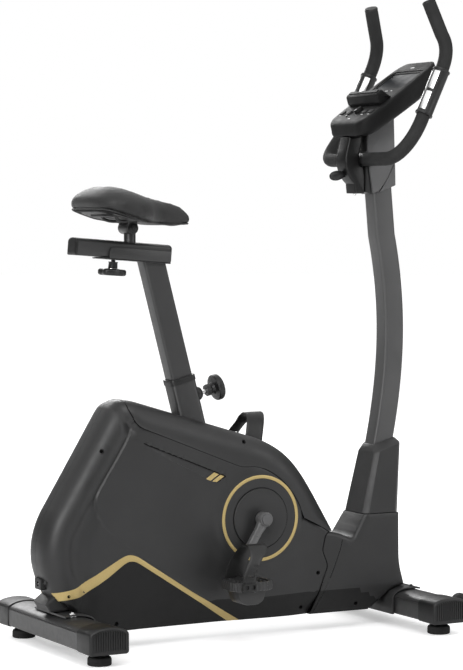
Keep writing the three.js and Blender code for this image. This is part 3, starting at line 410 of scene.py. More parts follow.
def distance_to(points, line):
    """Distance from each 2-D point to a polyline."""
    points, line = np.asarray(points, float), np.asarray(line, float)
    best = np.full(len(points), 1e9)
    for a, b in zip(line[:-1], line[1:]):
        run = b - a
        t = np.clip(((points - a) @ run) / max(run @ run, 1e-12), 0, 1)
        best = np.minimum(best, np.linalg.norm(points - a - t[:, None] * run, axis=1))
    return best


def inside(points, outline):
    """Whether each 2-D point lies in a closed outline."""
    points, outline = np.asarray(points, float), np.asarray(outline, float)
    found = np.zeros(len(points), bool)
    for a, b in zip(outline, np.roll(outline, -1, axis=0)):
        crosses = (a[1] > points[:, 1]) != (b[1] > points[:, 1])
        rise = b[1] - a[1] if b[1] != a[1] else 1e-12
        found ^= crosses & (points[:, 0] < a[0] + (points[:, 1] - a[1]) / rise * (b[0] - a[0]))
    return found


def left_of(line):
    """For each point of a flat line, the unit vector to its left."""
    step = np.gradient(np.asarray(line, float), axis=0)
    return unit(np.c_[-step[:, 1], step[:, 0]])


def offset(line, distance):
    """A polyline moved sideways, to its left for a positive distance."""
    return line + distance * left_of(line)


def ease(value, low, high):
    t = np.clip((value - low) / (high - low), 0, 1)
    return t * t * (3 - 2 * t)


def merge(*parts):
    """Several (points, faces) pairs as one."""
    points, faces, start = [], [], 0
    for more_points, more_faces in parts:
        points.append(np.asarray(more_points, float))
        faces.extend(tuple(start + i for i in f) for f in more_faces)
        start += len(more_points)
    return np.vstack(points), faces


def level(flat, height):
    """A flat outline in X and Y as a 3-D ring."""
    return np.c_[flat, np.full(len(flat), height)]


def loft(rings, caps=True):
    """A skin through rings of equally many 3-D points."""
    count, last = len(rings[0]), (len(rings) - 1) * len(rings[0])
    faces = [(r + i, r + (i + 1) % count, r + count + (i + 1) % count, r + count + i)
             for r in range(0, last, count) for i in range(count)]
    if caps:
        faces += [tuple(range(count))[::-1], tuple(range(last, last + count))]
    return np.vstack(rings), faces


def closed_loft(rings):
    """A skin through rings that come back to the first one."""
    points, faces = loft(rings, caps=False)
    count, last = len(rings[0]), len(points) - len(rings[0])
    return points, faces + [(last + i, last + (i + 1) % count, (i + 1) % count, i) for i in range(count)]


def slab(outline, axis, low, high, edge=0.0, steps=3):
    """An outline extruded along an axis, with both rims rounded over by the edge."""
    outline = np.asarray(outline, float)
    after = np.roll(outline, -1, axis=0)
    if np.sum(outline[:, 0] * after[:, 1] - after[:, 0] * outline[:, 1]) < 0:
        outline = outline[::-1]
    levels = [(0.0, low), (0.0, high)]
    if edge:
        turns = np.radians(np.linspace(0, 90, steps + 1))
        start = [(edge * (1 - math.sin(a)), low + edge * (1 - math.cos(a))) for a in turns]
        levels = start + [(inset, low + high - height) for inset, height in start[::-1]]
    order = {"x": (2, 0, 1), "y": (0, 2, 1), "z": (0, 1, 2)}[axis]
    return loft([level(shrink(outline, inset), height)[:, order] for inset, height in levels])


def side_slab(outline, side, near, far, edge=0.0, steps=3):
    """A slab between two distances from the middle plane, on one side."""
    return slab(outline, "y", *sorted((side * near, side * far)), edge, steps)


def shrink(outline, distance):
    """A counter-clockwise outline moved inwards, corner by corner."""
    if not distance:
        return outline
    steps = outline - np.roll(outline, 1, axis=0), np.roll(outline, -1, axis=0) - outline
    normals = [unit(np.c_[-s[:, 1], s[:, 0]]) for s in steps]
    mitre = unit(normals[0] + normals[1])
    return outline + distance * mitre / np.maximum((mitre * normals[0]).sum(1), 0.35)[:, None]


def turned(profile, start=(0, 0, 0), axis=Z, sides=40):
    """A profile of (radius, height) pairs turned about an axis through a 3-D point."""
    turn = Vector(axis).normalized().to_track_quat("Z", "Y").to_matrix()
    return loft([np.array([turn @ Vector((*p, height)) + Vector(start) for p in circle(0, 0, max(radius, 0.02), sides)])
                 for radius, height in profile])


def rod(radius, low, high, start=(0, 0, 0), axis=Z, sides=40):
    return turned(((0, low), (radius, low), (radius, high), (0, high)), start, axis, sides)


def swept(section, path, side_hint=Y, scale=None):
    """A 2-D section swept along a path without twisting. Its first axis stays near the side hint."""
    path, side, rings = np.asarray(path, float), np.array(side_hint, float), []
    for i, (point, tangent) in enumerate(zip(path, unit(np.gradient(path, axis=0)))):
        side = unit(side - tangent * (side @ tangent))
        grow = 1 if scale is None else scale[i]
        rings.append(point + grow * (section[:, :1] * side + section[:, 1:] * np.cross(tangent, side)))
    return loft(rings)


def moved(part, matrix):
    matrix = np.array(matrix, float)
    return np.asarray(part[0]) @ matrix[:3, :3].T + matrix[:3, 3], part[1]


def new_object(name, part, weld=True, outward=True):
    """A mesh object from (points, faces) in millimetres."""
    mesh = bpy.data.meshes.new(name)
    mesh.from_pydata([tuple(p) for p in np.asarray(part[0], float) * MM], [], part[1])
    work = bmesh.new()
    work.from_mesh(mesh)
    if weld:
        bmesh.ops.remove_doubles(work, verts=work.verts, dist=1e-6)
    if outward:
        bmesh.ops.recalc_face_normals(work, faces=work.faces)
    work.to_mesh(mesh)
    work.free()
    return placed(name, mesh)


def enlist(made, body, stands_for):
    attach(made, body)
    if stands_for:
        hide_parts(*stands_for)
    return made


def piece(name, part, body, slot, *stands_for, look=None, sharp=32):
    """Makes a mesh object, gives it its finish and rides it on a CAD body in place of CAD nodes."""
    made = new_object(name, part)
    made.data.materials.append(LOOKS[look or slot])
    shade(made.data, sharp)
    return enlist(made, body, stands_for)


def shade(mesh, sharp):
    mesh.shade_smooth()
    mesh.set_sharp_from_angle(angle=math.radians(sharp))


def applied(made):
    """Turns the piece's modifiers into mesh."""
    evaluated = made.evaluated_get(bpy.context.evaluated_depsgraph_get())
    mesh = bpy.data.meshes.new_from_object(evaluated)
    made.modifiers.clear()
    made.data = mesh


def carve(made, *cutters, sharp=32):
    """Cuts closed (points, faces) shapes out of a piece."""
    tools = []
    for i, part in enumerate(cutters):
        tools.append(new_object(f"{made.name}_cutter_{i}", part, weld=False))
        modifier = made.modifiers.new(f"cut_{i}", "BOOLEAN")
        modifier.operation, modifier.solver, modifier.object = "DIFFERENCE", "EXACT", tools[-1]
    bpy.context.view_layer.update()
    applied(made)
    for tool in tools:
        bpy.data.objects.remove(tool)
    shade(made.data, sharp)


# ---------------------------------------------------------------- body mouldings

CRANK = np.array((27.0, 261.0))
HUB = (CRANK[0], 0, CRANK[1])
RING = (86.5, 93.5)  # inner and outer radius of the gold ring
SPINE_HALF = 22  # half width of the flat spine along the top and the back
SIDE_HALF = 62
WALL = 2.5
GRID = 10  # spacing of the mouldings' points away from their features
LEAN = math.radians(14.85)
SEAT_FRAME = Matrix.Translation((-137.5, 0, 566)) @ Matrix.Rotation(-LEAN, 4, "Y")
SPINE_SPLIT = -284  # where the shells hand the spine over to the top cover
BOOT_SEAM_Z = 251.5

REAR_FOOT = np.array(((-300, 40), (-372, 58), (-448, 118)), float)
SPINE = resample(np.vstack((
    bezier((-448, 118), (-480, 172), (-490, 238), (-440, 312), steps=16),
    bezier((-318, 511), (-300, 534), (-254, 520)),
    bezier((30, 434), (110, 408), (140, 365), (182, 296), steps=14),
    ((228, 219),),
)), 4)
COVER_SEAM = resample(np.vstack((
    ((-284, 525.2), (-284, 520)),
    bezier((-282, 508), (-268, 470), (-245, 464)),
    soften(((-240, 462), (-17, 374), (14, 374)), 14)[1:],
    bezier((14, 374), (70, 366), (118, 310), (139, 255), steps=12),
    ((187, 232), (206, 219.5)),
)), 4)
FRONT_JOINT = soften(((158.8, 40), (199, 147), (187, 180), (197, 213), (206, 219.5)), 8)
FRONT_GROOVE = soften(((237, 201), (231, 180), (205, 125), (162, 40)), 8)
PANEL_EDGE = soften(((-272, 470), (-292, 432), (-315, 396), (-358, 330), (-361, 308), (-345, 268), (-300, 227),
                     (-247, 191), (-129, 112), (-8, 38)), 14)
STRIPE_TOP = ((-451, 128), (-402, 140), (-344, 172), (-302, 195), (-286, 201), (-267, 197), (-247, 184), (-129, 108),
              (-14, 40))
STRIPE_LOW = ((-441, 112), (-390, 121), (-333, 155), (-296, 181), (-284, 187), (-268, 185), (-252, 175), (-129, 96),
              (-42, 40))
SLOT = ((-55, 356), (-251, 435), (-200, 402), (-142, 374), (-78, 343))  # its tip first
CHAMFER_TOP = ((-290, 46), (-248, 63), (-77, 91), (27, 88), (152, 92), (271, 92), (336, 59))
GOLD_BARS = (((-104, 352.5), (-84, 365.5), (-73, 361), (-93, 348)),
             ((-89, 346.5), (-69, 359.5), (-60, 356), (-78, 344.5)))
STRIPE_SCREW = (-424, 122)
BODY_SCREWS = ((-347, 422), STRIPE_SCREW, (-313, 56), (138, 57), (174, 132))
COVER_SCREWS = ((-7, 427),)
FRONT_SCREWS = ((275, 56),)
SCREW_RADIUS, WELL_DEPTH = 4.8, 6


def front_half_width(z):
    """Half width of the moulding round the mast's foot."""
    return np.interp(z, (39, 92, 140, 260), (48, 62, 60, 48))


def round_over(distance, reach, low, high):
    t = np.clip(distance / reach, 0, 1)
    return low + (high - low) * np.sqrt(1 - (1 - t) ** 2)


def screw_wells(points, places):
    reach = np.min([np.linalg.norm(points - place, axis=1) for place in places], axis=0)
    return WELL_DEPTH * (1 - ease(reach, SCREW_RADIUS - 1.0, SCREW_RADIUS - 0.1))


def well_rims(places):
    return [loop(circle(*place, SCREW_RADIUS - d, 20)) for place in places for d in (1.0, 0.1)]


def seam_round(points, *seams):
    """How far a moulding's edge rolls inwards beside its seams."""
    near = np.min([distance_to(points, seam) for seam in seams], axis=0)
    return 0.9 * (1 - np.clip(near / 2.2, 0, 1)) ** 2


def side_skin(points):
    """Half width of the body's side at points in X and Z."""
    points = np.asarray(points, float)
    x, z = points.T
    inset = distance_to(points, SPINE)
    top = round_over(inset, 50, SPINE_HALF, SIDE_HALF)
    # The rounded column down the back, and the hollow beside it.
    column = round_over(inset, 40, 16, 61)
    behind = 1 - ease(x + 0.55 * (z - 460), -290, -250)
    column = np.where(inset < 40, column, column - 9 * ease(inset, 40, 66) + 5 * ease(inset, 70, 100))
    # The raised side panel.
    edge = distance_to(points, PANEL_EDGE)
    panel_area = np.vstack((PANEL_EDGE, ((400, 38), (400, 700), (-272, 700))))
    signed = np.where(inside(points, panel_area), edge, -edge)
    crown = 1.5 * ((z - 250) / 170) ** 2 + 1.2 * ((x + 100) / 260) ** 2
    hollow = 5.0 * np.exp(-(((x + 84) / 42) ** 2) - ((z - 215) / 72) ** 2)
    panel = SIDE_HALF - crown - hollow - 2.5 * (1 - ease(signed, 0, 80))
    ground = column - 0.02 * np.clip(190 - z, 0, 150)
    half = ground + (panel - ground) * ease(signed, -5, 0.5)
    half = np.minimum(half, np.where(behind > 0.5, half, top)) - 11 * scoop(points)
    half = np.minimum(half, round_over(distance_to(points, REAR_FOOT), 14, 40, SIDE_HALF))
    # Towards the front the side follows the moulding round the mast.
    blend = ease(x, 100, 185)
    return half * (1 - blend) + np.minimum(half, front_half_width(z)) * blend


def scoop(points):
    """The hollow that divides the column from the top cover at the rear top corner."""
    reach = distance_to(points, ((-306, 530), (-288, 488), (-276, 462)))
    return np.exp(-((reach / 15) ** 2)) * ease(points[:, 1], 440, 480)


def with_ring_boss(points, half):
    reach = np.linalg.norm(np.asarray(points) - CRANK, axis=1)
    raised = 63.8 + (half - 63.8) * ease(reach, 97, 112)
    return np.where(reach < 66.5, 61.5, raised)


def lower_chamfer(points, half):
    x, z = np.asarray(points).T
    return half - 0.27 * np.clip(np.interp(x, *np.array(CHAMFER_TOP).T) - z, 0, 60)


def slot_recess(points):
    """A shallow wedge that is deepest along its upper edge."""
    upper = distance_to(points, SLOT[:2])
    width = np.interp(points[:, 0], (-251, -200, -142, -78, -55), (1, 12, 17, 21, 2))
    return np.where(inside(points, SLOT), 1.6 * np.clip(1 - upper / width, 0, 1) + 0.5, 0)


def shell_depth(points):
    half = lower_chamfer(points, with_ring_boss(points, side_skin(points)))
    return half - (screw_wells(points, BODY_SCREWS) + slot_recess(points)) - seam_round(points, COVER_SEAM, FRONT_JOINT)


def cover_depth(points):
    half = round_over(distance_to(points, SPINE), 50, SPINE_HALF, SIDE_HALF)
    half -= 9 * scoop(points) + 1.2 * ((points[:, 0] + 60) / 230) ** 2
    half = np.minimum(half, 40 + 22 * ease(points[:, 0], 235, 150))
    return half - screw_wells(points, COVER_SCREWS) - seam_round(points, COVER_SEAM)


def front_depth(points, silhouette, joint, roof):
    inset = np.minimum(distance_to(points, silhouette), distance_to(points, roof))
    half = front_half_width(points[:, 1]) - 9 + round_over(inset, 10, 0, 9) - screw_wells(points, FRONT_SCREWS)
    half -= 1.4 * np.clip(1 - distance_to(points, FRONT_GROOVE + (3, 0)) / 1.1, 0, 1)
    return half - seam_round(points, joint, ((290, BOOT_SEAM_Z), (400, BOOT_SEAM_Z)))


def patch(outline, depth, features, rows, hole=None):
    """Triangulates an outline in X and Z, with edges along the features, and gives it its half width."""
    outline = resample(loop(outline), 5)[:-1]
    fixed = [outline, *(resample(line, 5) for line in features)]
    edges, start = [], 0
    for line in fixed:
        edges += [(start + k, start + k + 1) for k in range(len(line) - 1)]
        if not start:
            edges.append((len(line) - 1, 0))
        start += len(line)
    base = np.vstack(fixed)
    loose = np.vstack([resample(row, 5) for row in rows])
    loose = thinned(loose[inside(loose, outline)], base, 1.0)
    low, high = outline.min(0), outline.max(0)
    grid = np.stack(np.meshgrid(np.arange(low[0], high[0], GRID), np.arange(low[1], high[1], GRID)), -1)
    grid[::2, :, 0] += GRID / 2
    grid = grid.reshape(-1, 2)
    grid = thinned(grid[inside(grid, outline)], np.vstack((base, loose)), 0.62 * GRID)
    flat, _, triangles, *_ = delaunay_2d_cdt([Vector(p) for p in np.vstack((base, loose, grid))], edges, [], 0, 1e-4)
    flat, triangles = np.array([tuple(p) for p in flat]), np.array([tuple(t) for t in triangles])
    middle = flat[triangles].mean(1)
    keep = inside(middle, outline)
    if hole is not None:
        keep &= ~inside(middle, hole)
    return flat, triangles[keep], depth(flat)


def thinned(points, others, clearance):
    return points[[np.min(np.linalg.norm(others - p, axis=1)) > clearance for p in points]]


def rim_of(flat, triangles, line):
    """The edges of a patch's rim that lie on a line."""
    directed = {(a, b) for t in triangles for a, b in ((t[0], t[1]), (t[1], t[2]), (t[2], t[0]))}
    on_line = distance_to(flat, line) < 0.05
    return [(a, b) for a, b in directed if (b, a) not in directed and on_line[a] and on_line[b]]


def skinned(flat, triangles, half, silhouette, side, middle=0.0):
    """The patch on one side of the body, with a strip across the spine to its middle plane."""
    start = len(flat)
    points = np.vstack([np.c_[flat[:, 0], y, flat[:, 1]] for y in (side * half, np.full(start, side * middle))])
    faces = [tuple(t) if side < 0 else tuple(t[::-1]) for t in triangles]
    quads = [(b, a, start + a, start + b) for a, b in rim_of(flat, triangles, silhouette)]
    return points, faces + [quad if side < 0 else quad[::-1] for quad in quads]


def sheet_piece(name, part, stands_for, painted_low_shade=False):
    """An open skin of the body, given a wall on its inner side."""
    points, faces = part
    used = sorted({i for f in faces for i in f})
    index = {old: new for new, old in enumerate(used)}
    made = new_object(name, (points[used], [tuple(index[i] for i in f) for f in faces]), outward=False)
    made.data.materials.append(LOOKS["shell_plastic"])
    thick = made.modifiers.new("wall", "SOLIDIFY")
    thick.thickness, thick.offset = WALL * MM, -1
    applied(made)
    shade(made.data, 28)
    if painted_low_shade:
        paint_shade_on_low_faces(made.data)
    return enlist(made, "frame", (stands_for,))


def paint_shade_on_low_faces(mesh):
    """Painted shade: the zone under the stripe and the lower crease, where the sides turn downwards, takes a darker,
    smoother copy of the shell finish.
    """
    mesh.materials.append(LOOKS["shell_dark"])
    crease, stripe = np.array(CHAMFER_TOP, float).T, np.array(STRIPE_LOW, float).T
    for face in mesh.polygons:
        x, y, z = np.array(face.center) / MM
        edge = np.interp(x, *crease, left=0, right=0)
        if x < stripe[0, -1]:
            edge = max(edge, np.interp(x, *stripe, left=112))
        if z < edge and abs(y) > 28:
            face.material_index = 1


def both_sides(line, *distances):
    """Rows of points beside a line, on its left and on its right."""
    return [offset(resample(line, 4), s * d) for s in (1, -1) for d in distances]


def make_shells():
    rear_spine = SPINE[SPINE[:, 0] < SPINE_SPLIT][::-1]
    outline = np.vstack((REAR_FOOT[:1], ((100, 40),), FRONT_JOINT, COVER_SEAM[::-1][1:], rear_spine,
                         REAR_FOOT[::-1][1:-1]))
    slot = np.array(SLOT, float)
    slot_floor = slot + 0.4 * unit(slot.mean(0) - slot)
    hole = circle(*CRANK, 26, 40)
    features = [loop(circle(*CRANK, r, 96)) for r in (66.2, 66.9, *RING, 97, 104, 112)] + well_rims(BODY_SCREWS)
    features += [loop(slot), loop(slot_floor), PANEL_EDGE, CHAMFER_TOP[:5], STRIPE_LOW, loop(hole)]
    rows = [offset(SPINE, -d) for d in (0.7, 2, 4, 7, 10, 14, 19, 25, 31, 38, 45, 53, 62)]
    rows += [offset(PANEL_EDGE, d) for d in (-9, -5, -3.2, -1.6, 0.5, 3)]
    rows += both_sides(COVER_SEAM, 0.8, 2.2, 5) + both_sides(FRONT_JOINT, 0.8, 2.2, 5)
    rows += both_sides(REAR_FOOT, 1, 3, 7, 12)
    flat, triangles, half = patch(outline, shell_depth, features, rows, hole)
    silhouette = np.vstack((((120, 40),), REAR_FOOT, rear_spine[::-1]))
    for name, side in SIDES:
        part = skinned(flat, triangles, half, silhouette, side, 0.25)
        sheet_piece(f"{name}_shell_moulding", part, f"{name}_shell", painted_low_shade=True)


def make_cover():
    top = SPINE[SPINE[:, 0] > SPINE_SPLIT]
    tip = np.array(((226.5, 221.5), (226, 219.6), (207, 219.6)))
    outline = np.vstack((COVER_SEAM, tip[::-1][1:], top[::-1][1:]))
    rows = [offset(SPINE, -d) for d in (0.7, 2, 4, 7, 10, 14, 19, 25, 31, 38, 45, 52)]
    rows += both_sides(COVER_SEAM, 0.8, 2.2, 5)
    flat, triangles, half = patch(outline, cover_depth, well_rims(COVER_SCREWS), rows)
    silhouette = np.vstack((COVER_SEAM[0], top, tip[:1]))
    halves = [skinned(flat, triangles, half, silhouette, side) for side in (1, -1)]
    cover = sheet_piece("top_cover_moulding", merge(*halves), "top_cover")
    seat_tube_room = loft([level(rounded_box(59.6, 47.6, 9.8), z) for z in (-150, 30)])
    carve(cover, moved(seat_tube_room, SEAT_FRAME), sharp=28)


def make_front_cover():
    joint = FRONT_JOINT + (GAP, 0)
    roof = soften((joint[-1], (236, 214), (268, 200), (300, BOOT_SEAM_Z)), 10)
    front = soften(((392, BOOT_SEAM_Z), (386, 140), (399, 89.5)), 20)
    under = soften(((399, 89.5), (386, 88), (372, 84), (358, 77), (349, 68), (338, 60), (318, 40), joint[0]), 4)
    outline = np.vstack((joint, roof[1:], front, under[1:-1]))
    silhouette = np.vstack((front, under[1:]))
    groove = FRONT_GROOVE + (3, 0)
    features = [*well_rims(FRONT_SCREWS), groove, groove + (1.2, 0), groove - (1.2, 0), ((150, 92), (380, 92))]
    rows = [row for line in (front, under, roof, joint) for row in both_sides(line, 0.7, 2, 4, 6.5, 9)]
    rows += [((290, z), (400, z)) for z in (BOOT_SEAM_Z - 0.8, BOOT_SEAM_Z - 2.2)]
    flat, triangles, half = patch(outline, lambda points: front_depth(points, silhouette[:-1], joint, roof), features,
                                  rows)
    parts = [skinned(flat, triangles, half, silhouette, side) for side in (1, -1)]
    parts += [roof_strip(flat, half, a, b) for a, b in rim_of(flat, triangles, roof)]
    sheet_piece("front_cover_moulding", merge(*parts), "front_cover", painted_low_shade=True)


def roof_strip(flat, half, a, b):
    """One face across the roof, from one side to the other."""
    return np.array([(flat[i][0], side * half[i], flat[i][1]) for side in (-1, 1) for i in (a, b)]), [(1, 0, 2, 3)]


def corner_ring(x0, x1, half, z0, z1, cut):
    """A rectangle in plan with chamfered, softened corners, tilted from z0 to z1."""
    corners = []
    for cx, cy, order in ((x1, -half, 1), (x1, half, -1), (x0, half, 1), (x0, -half, -1)):
        corner = np.array((cx, cy))
        ends = [corner + (cut * np.sign(x0 + x1 - 2 * cx), 0), corner - (0, cut * np.sign(cy))][::order]
        corners.append(bezier(ends[0], (corner + ends[0] + ends[1]) / 3, ends[1], steps=2))
    flat = np.vstack(corners)
    return np.c_[flat, z0 + (z1 - z0) * (flat[:, 0] - x0) / (x1 - x0)]


def make_boot():
    low = BOOT_SEAM_Z + GAP
    rings = (
        (303, 390, 44, low + 0.5, low + 0.5, 9), (300.8, 391.6, 47, low, low, 11),
        (300, 392, 48, low + 1.2, low + 1.2, 12), (331.6, 400, 43.4, 383, 405, 10),
        (332.2, 399.7, 42.6, 386, 408, 10), (333.2, 398.8, 40.6, 388.5, 410.5, 10),
        (337.0, 395.6, 28, 402, 416.5, 7), (338.4, 394.4, 26.2, 404, 418, 7),
        (340.2, 392.6, 24.6, 403.8, 417.8, 7), (340.6, 392.2, 24.2, 396, 410, 7),
    )
    piece("mast_boot_moulding", loft([corner_ring(*r) for r in rings]), "frame", "shell_plastic", "mast_boot", sharp=24)


def lifted(points, side, lift, skin=side_skin):
    """Points on the body's side, raised along its surface."""
    points, step = np.asarray(points, float), 0.8
    slope_x, slope_z = (np.clip((skin(points + d) - skin(points - d)) / (2 * step), -3, 3)
                        for d in ((step, 0), (0, step)))
    normal = unit(np.c_[-slope_x, np.ones(len(points)), -slope_z])
    return (np.c_[points[:, 0], skin(points), points[:, 1]] + lift * normal) * (1, side, 1)


def stripe_skin(points):
    return lower_chamfer(points, side_skin(points))


def seam_skin(points):
    return lower_chamfer(points, with_ring_boss(points, side_skin(points)))


def across(columns):
    """Rings from equally long columns of points."""
    return [np.array(ring) for ring in zip(*columns)]


def make_stripe():
    """The gold band, up one side of the body, round its back and down the other."""
    profile = ((0.0, -0.9), (0.0, 0.1), (0.05, 0.5), (0.5, 0.55), (0.95, 0.5), (1.0, 0.1), (1.0, -0.9))
    spread = np.linspace(0, 1, 90) ** 1.6
    edges = soften(STRIPE_TOP, 9), soften(STRIPE_LOW, 9)
    top, low = (cut_at(line, spread * lengths_along(line)[-1]) for line in edges)
    right, left = (across([lifted(top + t * (low - top), side, lift, stripe_skin) for t, lift in profile])
                   for side in (-1, 1))
    back = [left[0] + (right[0] - left[0]) * t - (np.sin(math.pi * t) * 0.6, 0, 0) for t in np.linspace(0, 1, 9)[1:-1]]
    piece("gold_stripe", loft(left[::-1] + back + right), "frame", "gold_trim", sharp=40)


def gap_shadow_strip(line, side, skin, wide, top=-0.25):
    """A dark strip laid in the joint between two mouldings, as painted shadow of the gap."""
    line = resample(line, 5)
    sideways = left_of(line)
    return loft(across([lifted(line + sideways * wide * u, side, lift, skin)
                        for u, lift in ((-0.5, -2.2), (-0.5, top), (0.5, top), (0.5, -2.2))]))


def make_trims():
    make_stripe()
    for name, side in SIDES:
        # Painted shadow: dark strips in the seams, the front groove and along the slot's upper edge.
        strips = [gap_shadow_strip(COVER_SEAM, side, seam_skin, 2.1),
                  gap_shadow_strip(FRONT_JOINT + (GAP / 2, 0), side, seam_skin, 2.1),
                  gap_shadow_strip(FRONT_GROOVE[:-1] + (3, 0.6), side, lambda p: front_half_width(p[:, 1]), 1.3, -0.1),
                  gap_shadow_strip((SLOT[1], SLOT[0], SLOT[4]), side, side_skin, 1.5, -0.12)]
        piece(f"{name}_seam_gaskets", merge(*strips), "frame", "trim_plastic", look="seam_black", sharp=60)
    middle, half = sum(RING) / 2, (RING[1] - RING[0]) / 2
    teeth = 150
    for name, side in SIDES:
        rings = []
        for i in range(2 * teeth):
            turn, swell = math.pi * i / teeth, 0.35 * (i % 2)
            section = ((-half, 62.6), (-half, 64.6), (-half * 0.6, 65.3 + swell), (0, 65.5 + swell),
                       (half * 0.6, 65.3 + swell), (half, 64.6), (half, 62.6))
            rings.append(np.array([(CRANK[0] + (middle + r) * math.cos(turn), side * y,
                                    CRANK[1] + (middle + r) * math.sin(turn)) for r, y in section]))
        piece(f"{name}_gold_ring", closed_loft(rings), "frame", "gold_trim", sharp=50)
        faces = [(bar, side_skin(bar).mean()) for bar in GOLD_BARS]
        bars = [side_slab(bar, side, face - 1.4, face + 0.15, 0.25, 1) for bar, face in faces]
        piece(f"{name}_gold_bars", merge(*bars), "frame", "gold_trim")


def screw_head(place, axis, depth):
    """A pan-head screw with a sunk drive, seen down its well."""
    profile = ((0, 0), (3.4, 0), (3.4, 1), (2.72, 1.9), (1.53, 2.2), (1.36, 0.9), (0, 0.8))
    return turned([(r, h - depth) for r, h in profile], place, axis, 16)


def make_body_screws():
    heads = []
    skins = ((BODY_SCREWS, stripe_skin), (COVER_SCREWS, lambda p: cover_depth(p) + WELL_DEPTH),
             (FRONT_SCREWS, lambda p: front_half_width(p[:, 1])))
    for side in (-1, 1):
        for places, skin in skins:
            for place in places:
                half = skin(np.array([place]))[0]
                depth = 0 if place == STRIPE_SCREW else 4.5
                heads.append(screw_head((place[0], side * half, place[1]), (0, side, 0), depth))
    # The plated screw heads take the near-black seam look: painted shade down their wells.
    piece("cover_screws", merge(*heads), "frame", "chrome", look="seam_black")


# ---------------------------------------------------------------- base

STABILIZERS = (("rear", -418, 1), ("front", 403, -1))
TUBE_HALF = 176
CAP_END = 245
FOOT_Y = 192
WHEEL = np.array((449.5, 66.0))
WHEEL_Y = 205


def crown_height(across, grow=0.0):
    """Height of a stabiliser's arch at a distance from its middle."""
    return 66 + grow + 16 * np.sqrt(np.clip(1 - (across / (42.5 + grow)) ** 2, 0, 1))


def stabilizer_section(x, grow=0.0, ledge=True):
    half, low = 42.5 + grow, 29 - grow
    arch = half * np.cos(np.linspace(0, math.pi, 17))
    arch = np.c_[arch, crown_height(arch, grow)]
    if ledge:
        arch[1:-1, 1] -= 0.8
        arch = np.vstack((arch[:1], arch[:1] + (-1.6, 0.4), arch[1:-1], arch[-1:] + (1.6, 0.4), arch[-1:]))
    bottom = np.vstack((arc(-half + 6, low + 6, 6, 180, 270, 3), arc(half - 6, low + 6, 6, 270, 360, 3)))
    return np.vstack((bottom, arch)) + (x, 0)


def end_cap(name, x, side, wheeled):
    levels = ((TUBE_HALF + 0.4, 0.4), (TUBE_HALF + 1.2, 1.4), (CAP_END - 9, 2.0), (CAP_END - 5, 1.2),
              (CAP_END - 3, -0.8), (CAP_END - 2.4, -3.0))
    parts = [loft([level(stabilizer_section(x, grow, False), side * y)[:, (0, 2, 1)] for y, grow in levels])]
    count = 14
    for i in range(count):
        sides = (i - (count - 1) / 2) * 5.4 + np.array((-1.3, 1.3))
        top = crown_height(sides) - 5
        rib = np.c_[x + sides[[0, 1, 1, 0]], (36, 36, top[1], top[0])]
        parts.append(side_slab(rib, side, CAP_END - 4, CAP_END - 0.6, 0.7, 2))
    cap = piece(name + "_moulding", merge(*parts), "frame", "trim_plastic", name, sharp=40)
    if wheeled:
        carve(cap, side_slab(circle(*WHEEL, 24.5, 40), side, WHEEL_Y - 11, WHEEL_Y + 11), sharp=40)
        pin = turned(((0, -17), (6.5, -17), (6.5, -14), (4, -14), (4, 14), (6.5, 14), (6.5, 17), (0, 17)),
                     (WHEEL[0], side * WHEEL_Y, WHEEL[1]), Y, 24)
        eye = np.vstack((arc(*WHEEL, 9, -90, 90, 10), ((x + 30, WHEEL[1] + 9), (x + 30, WHEEL[1] - 9))))
        lugs = [side_slab(eye, side, y, y + 2, 0.4, 1) for y in (WHEEL_Y - 14, WHEEL_Y + 12)]
        piece(name + "_fork", merge(pin, *lugs), "frame", "trim_plastic", look="frame_paint")


def make_base():
    for place, x, inner in STABILIZERS:
        tube = slab(stabilizer_section(x), "y", -TUBE_HALF, TUBE_HALF)
        piece(f"{place}_stabilizer_tube", tube, "frame", "frame_paint", f"{place}_stabilizer", sharp=40)
        piece(f"{place}_bracket", saddle_bracket(x, inner), "frame", "frame_paint", sharp=40)
        bolts = [bolt((x - inner * 5, y, 84.5), Z) for y in (-71, 71)]
        piece(f"{place}_bracket_bolts", merge(*bolts), "frame", "chrome",
              look="chrome" if place == "rear" else "trim_plastic", sharp=40)
        for name, side in SIDES:
            end_cap(f"{place}_{name}_end_cap", x, side, place == "front")
            foot(f"{place}_{name}_foot", x, side)
    half_tyre = ((5, -8), (8, -9), (17, -9), (19, -8.4), (20.6, -7), (21, -5), (21, -1))
    tyre = (*half_tyre, (20.2, 0), *((r, -y) for r, y in half_tyre[::-1]))
    for name, side in SIDES:
        wheel = turned(tyre, (WHEEL[0], side * WHEEL_Y, WHEEL[1]), Y, 48)
        piece(f"{name}_wheel_tyre", wheel, f"{name}_wheel", "wheel_rubber", f"{name}_transport_wheel")


def saddle_bracket(x, inner):
    """A pressed plate that lies over the stabiliser's crown and turns down its inner side."""
    lift, thick, half = 1.3, 4.0, 43.8
    reach = half * np.cos(np.radians(np.linspace(124, 0, 14)))
    under = np.c_[x + inner * reach, crown_height(reach, lift)]
    wall = x + inner * half
    hem = ((wall, 29), (wall + inner * 5, 29), (wall + inner * 5, 66))
    return slab(np.vstack((under, hem, (under + (0, thick))[:-1][::-1])), "y", -79, 79, 1.0, 2)


def bolt(place, axis, hex_radius=6.2, washer=9.5):
    seat = turned(((0, -2), (washer, -2), (washer, -0.4), (washer - 0.8, 0), (0, 0)), place, axis, 32)
    head = turned(((0, 0), (hex_radius, 0), (hex_radius, 3.6), (hex_radius - 0.8, 4.4), (0, 4.4)), place, axis, 6)
    tip = turned(((0, 4), (3.2, 4), (3.2, 6.6), (2.6, 7.2), (0, 7.2)), place, axis, 20)
    return merge(seat, head, tip)


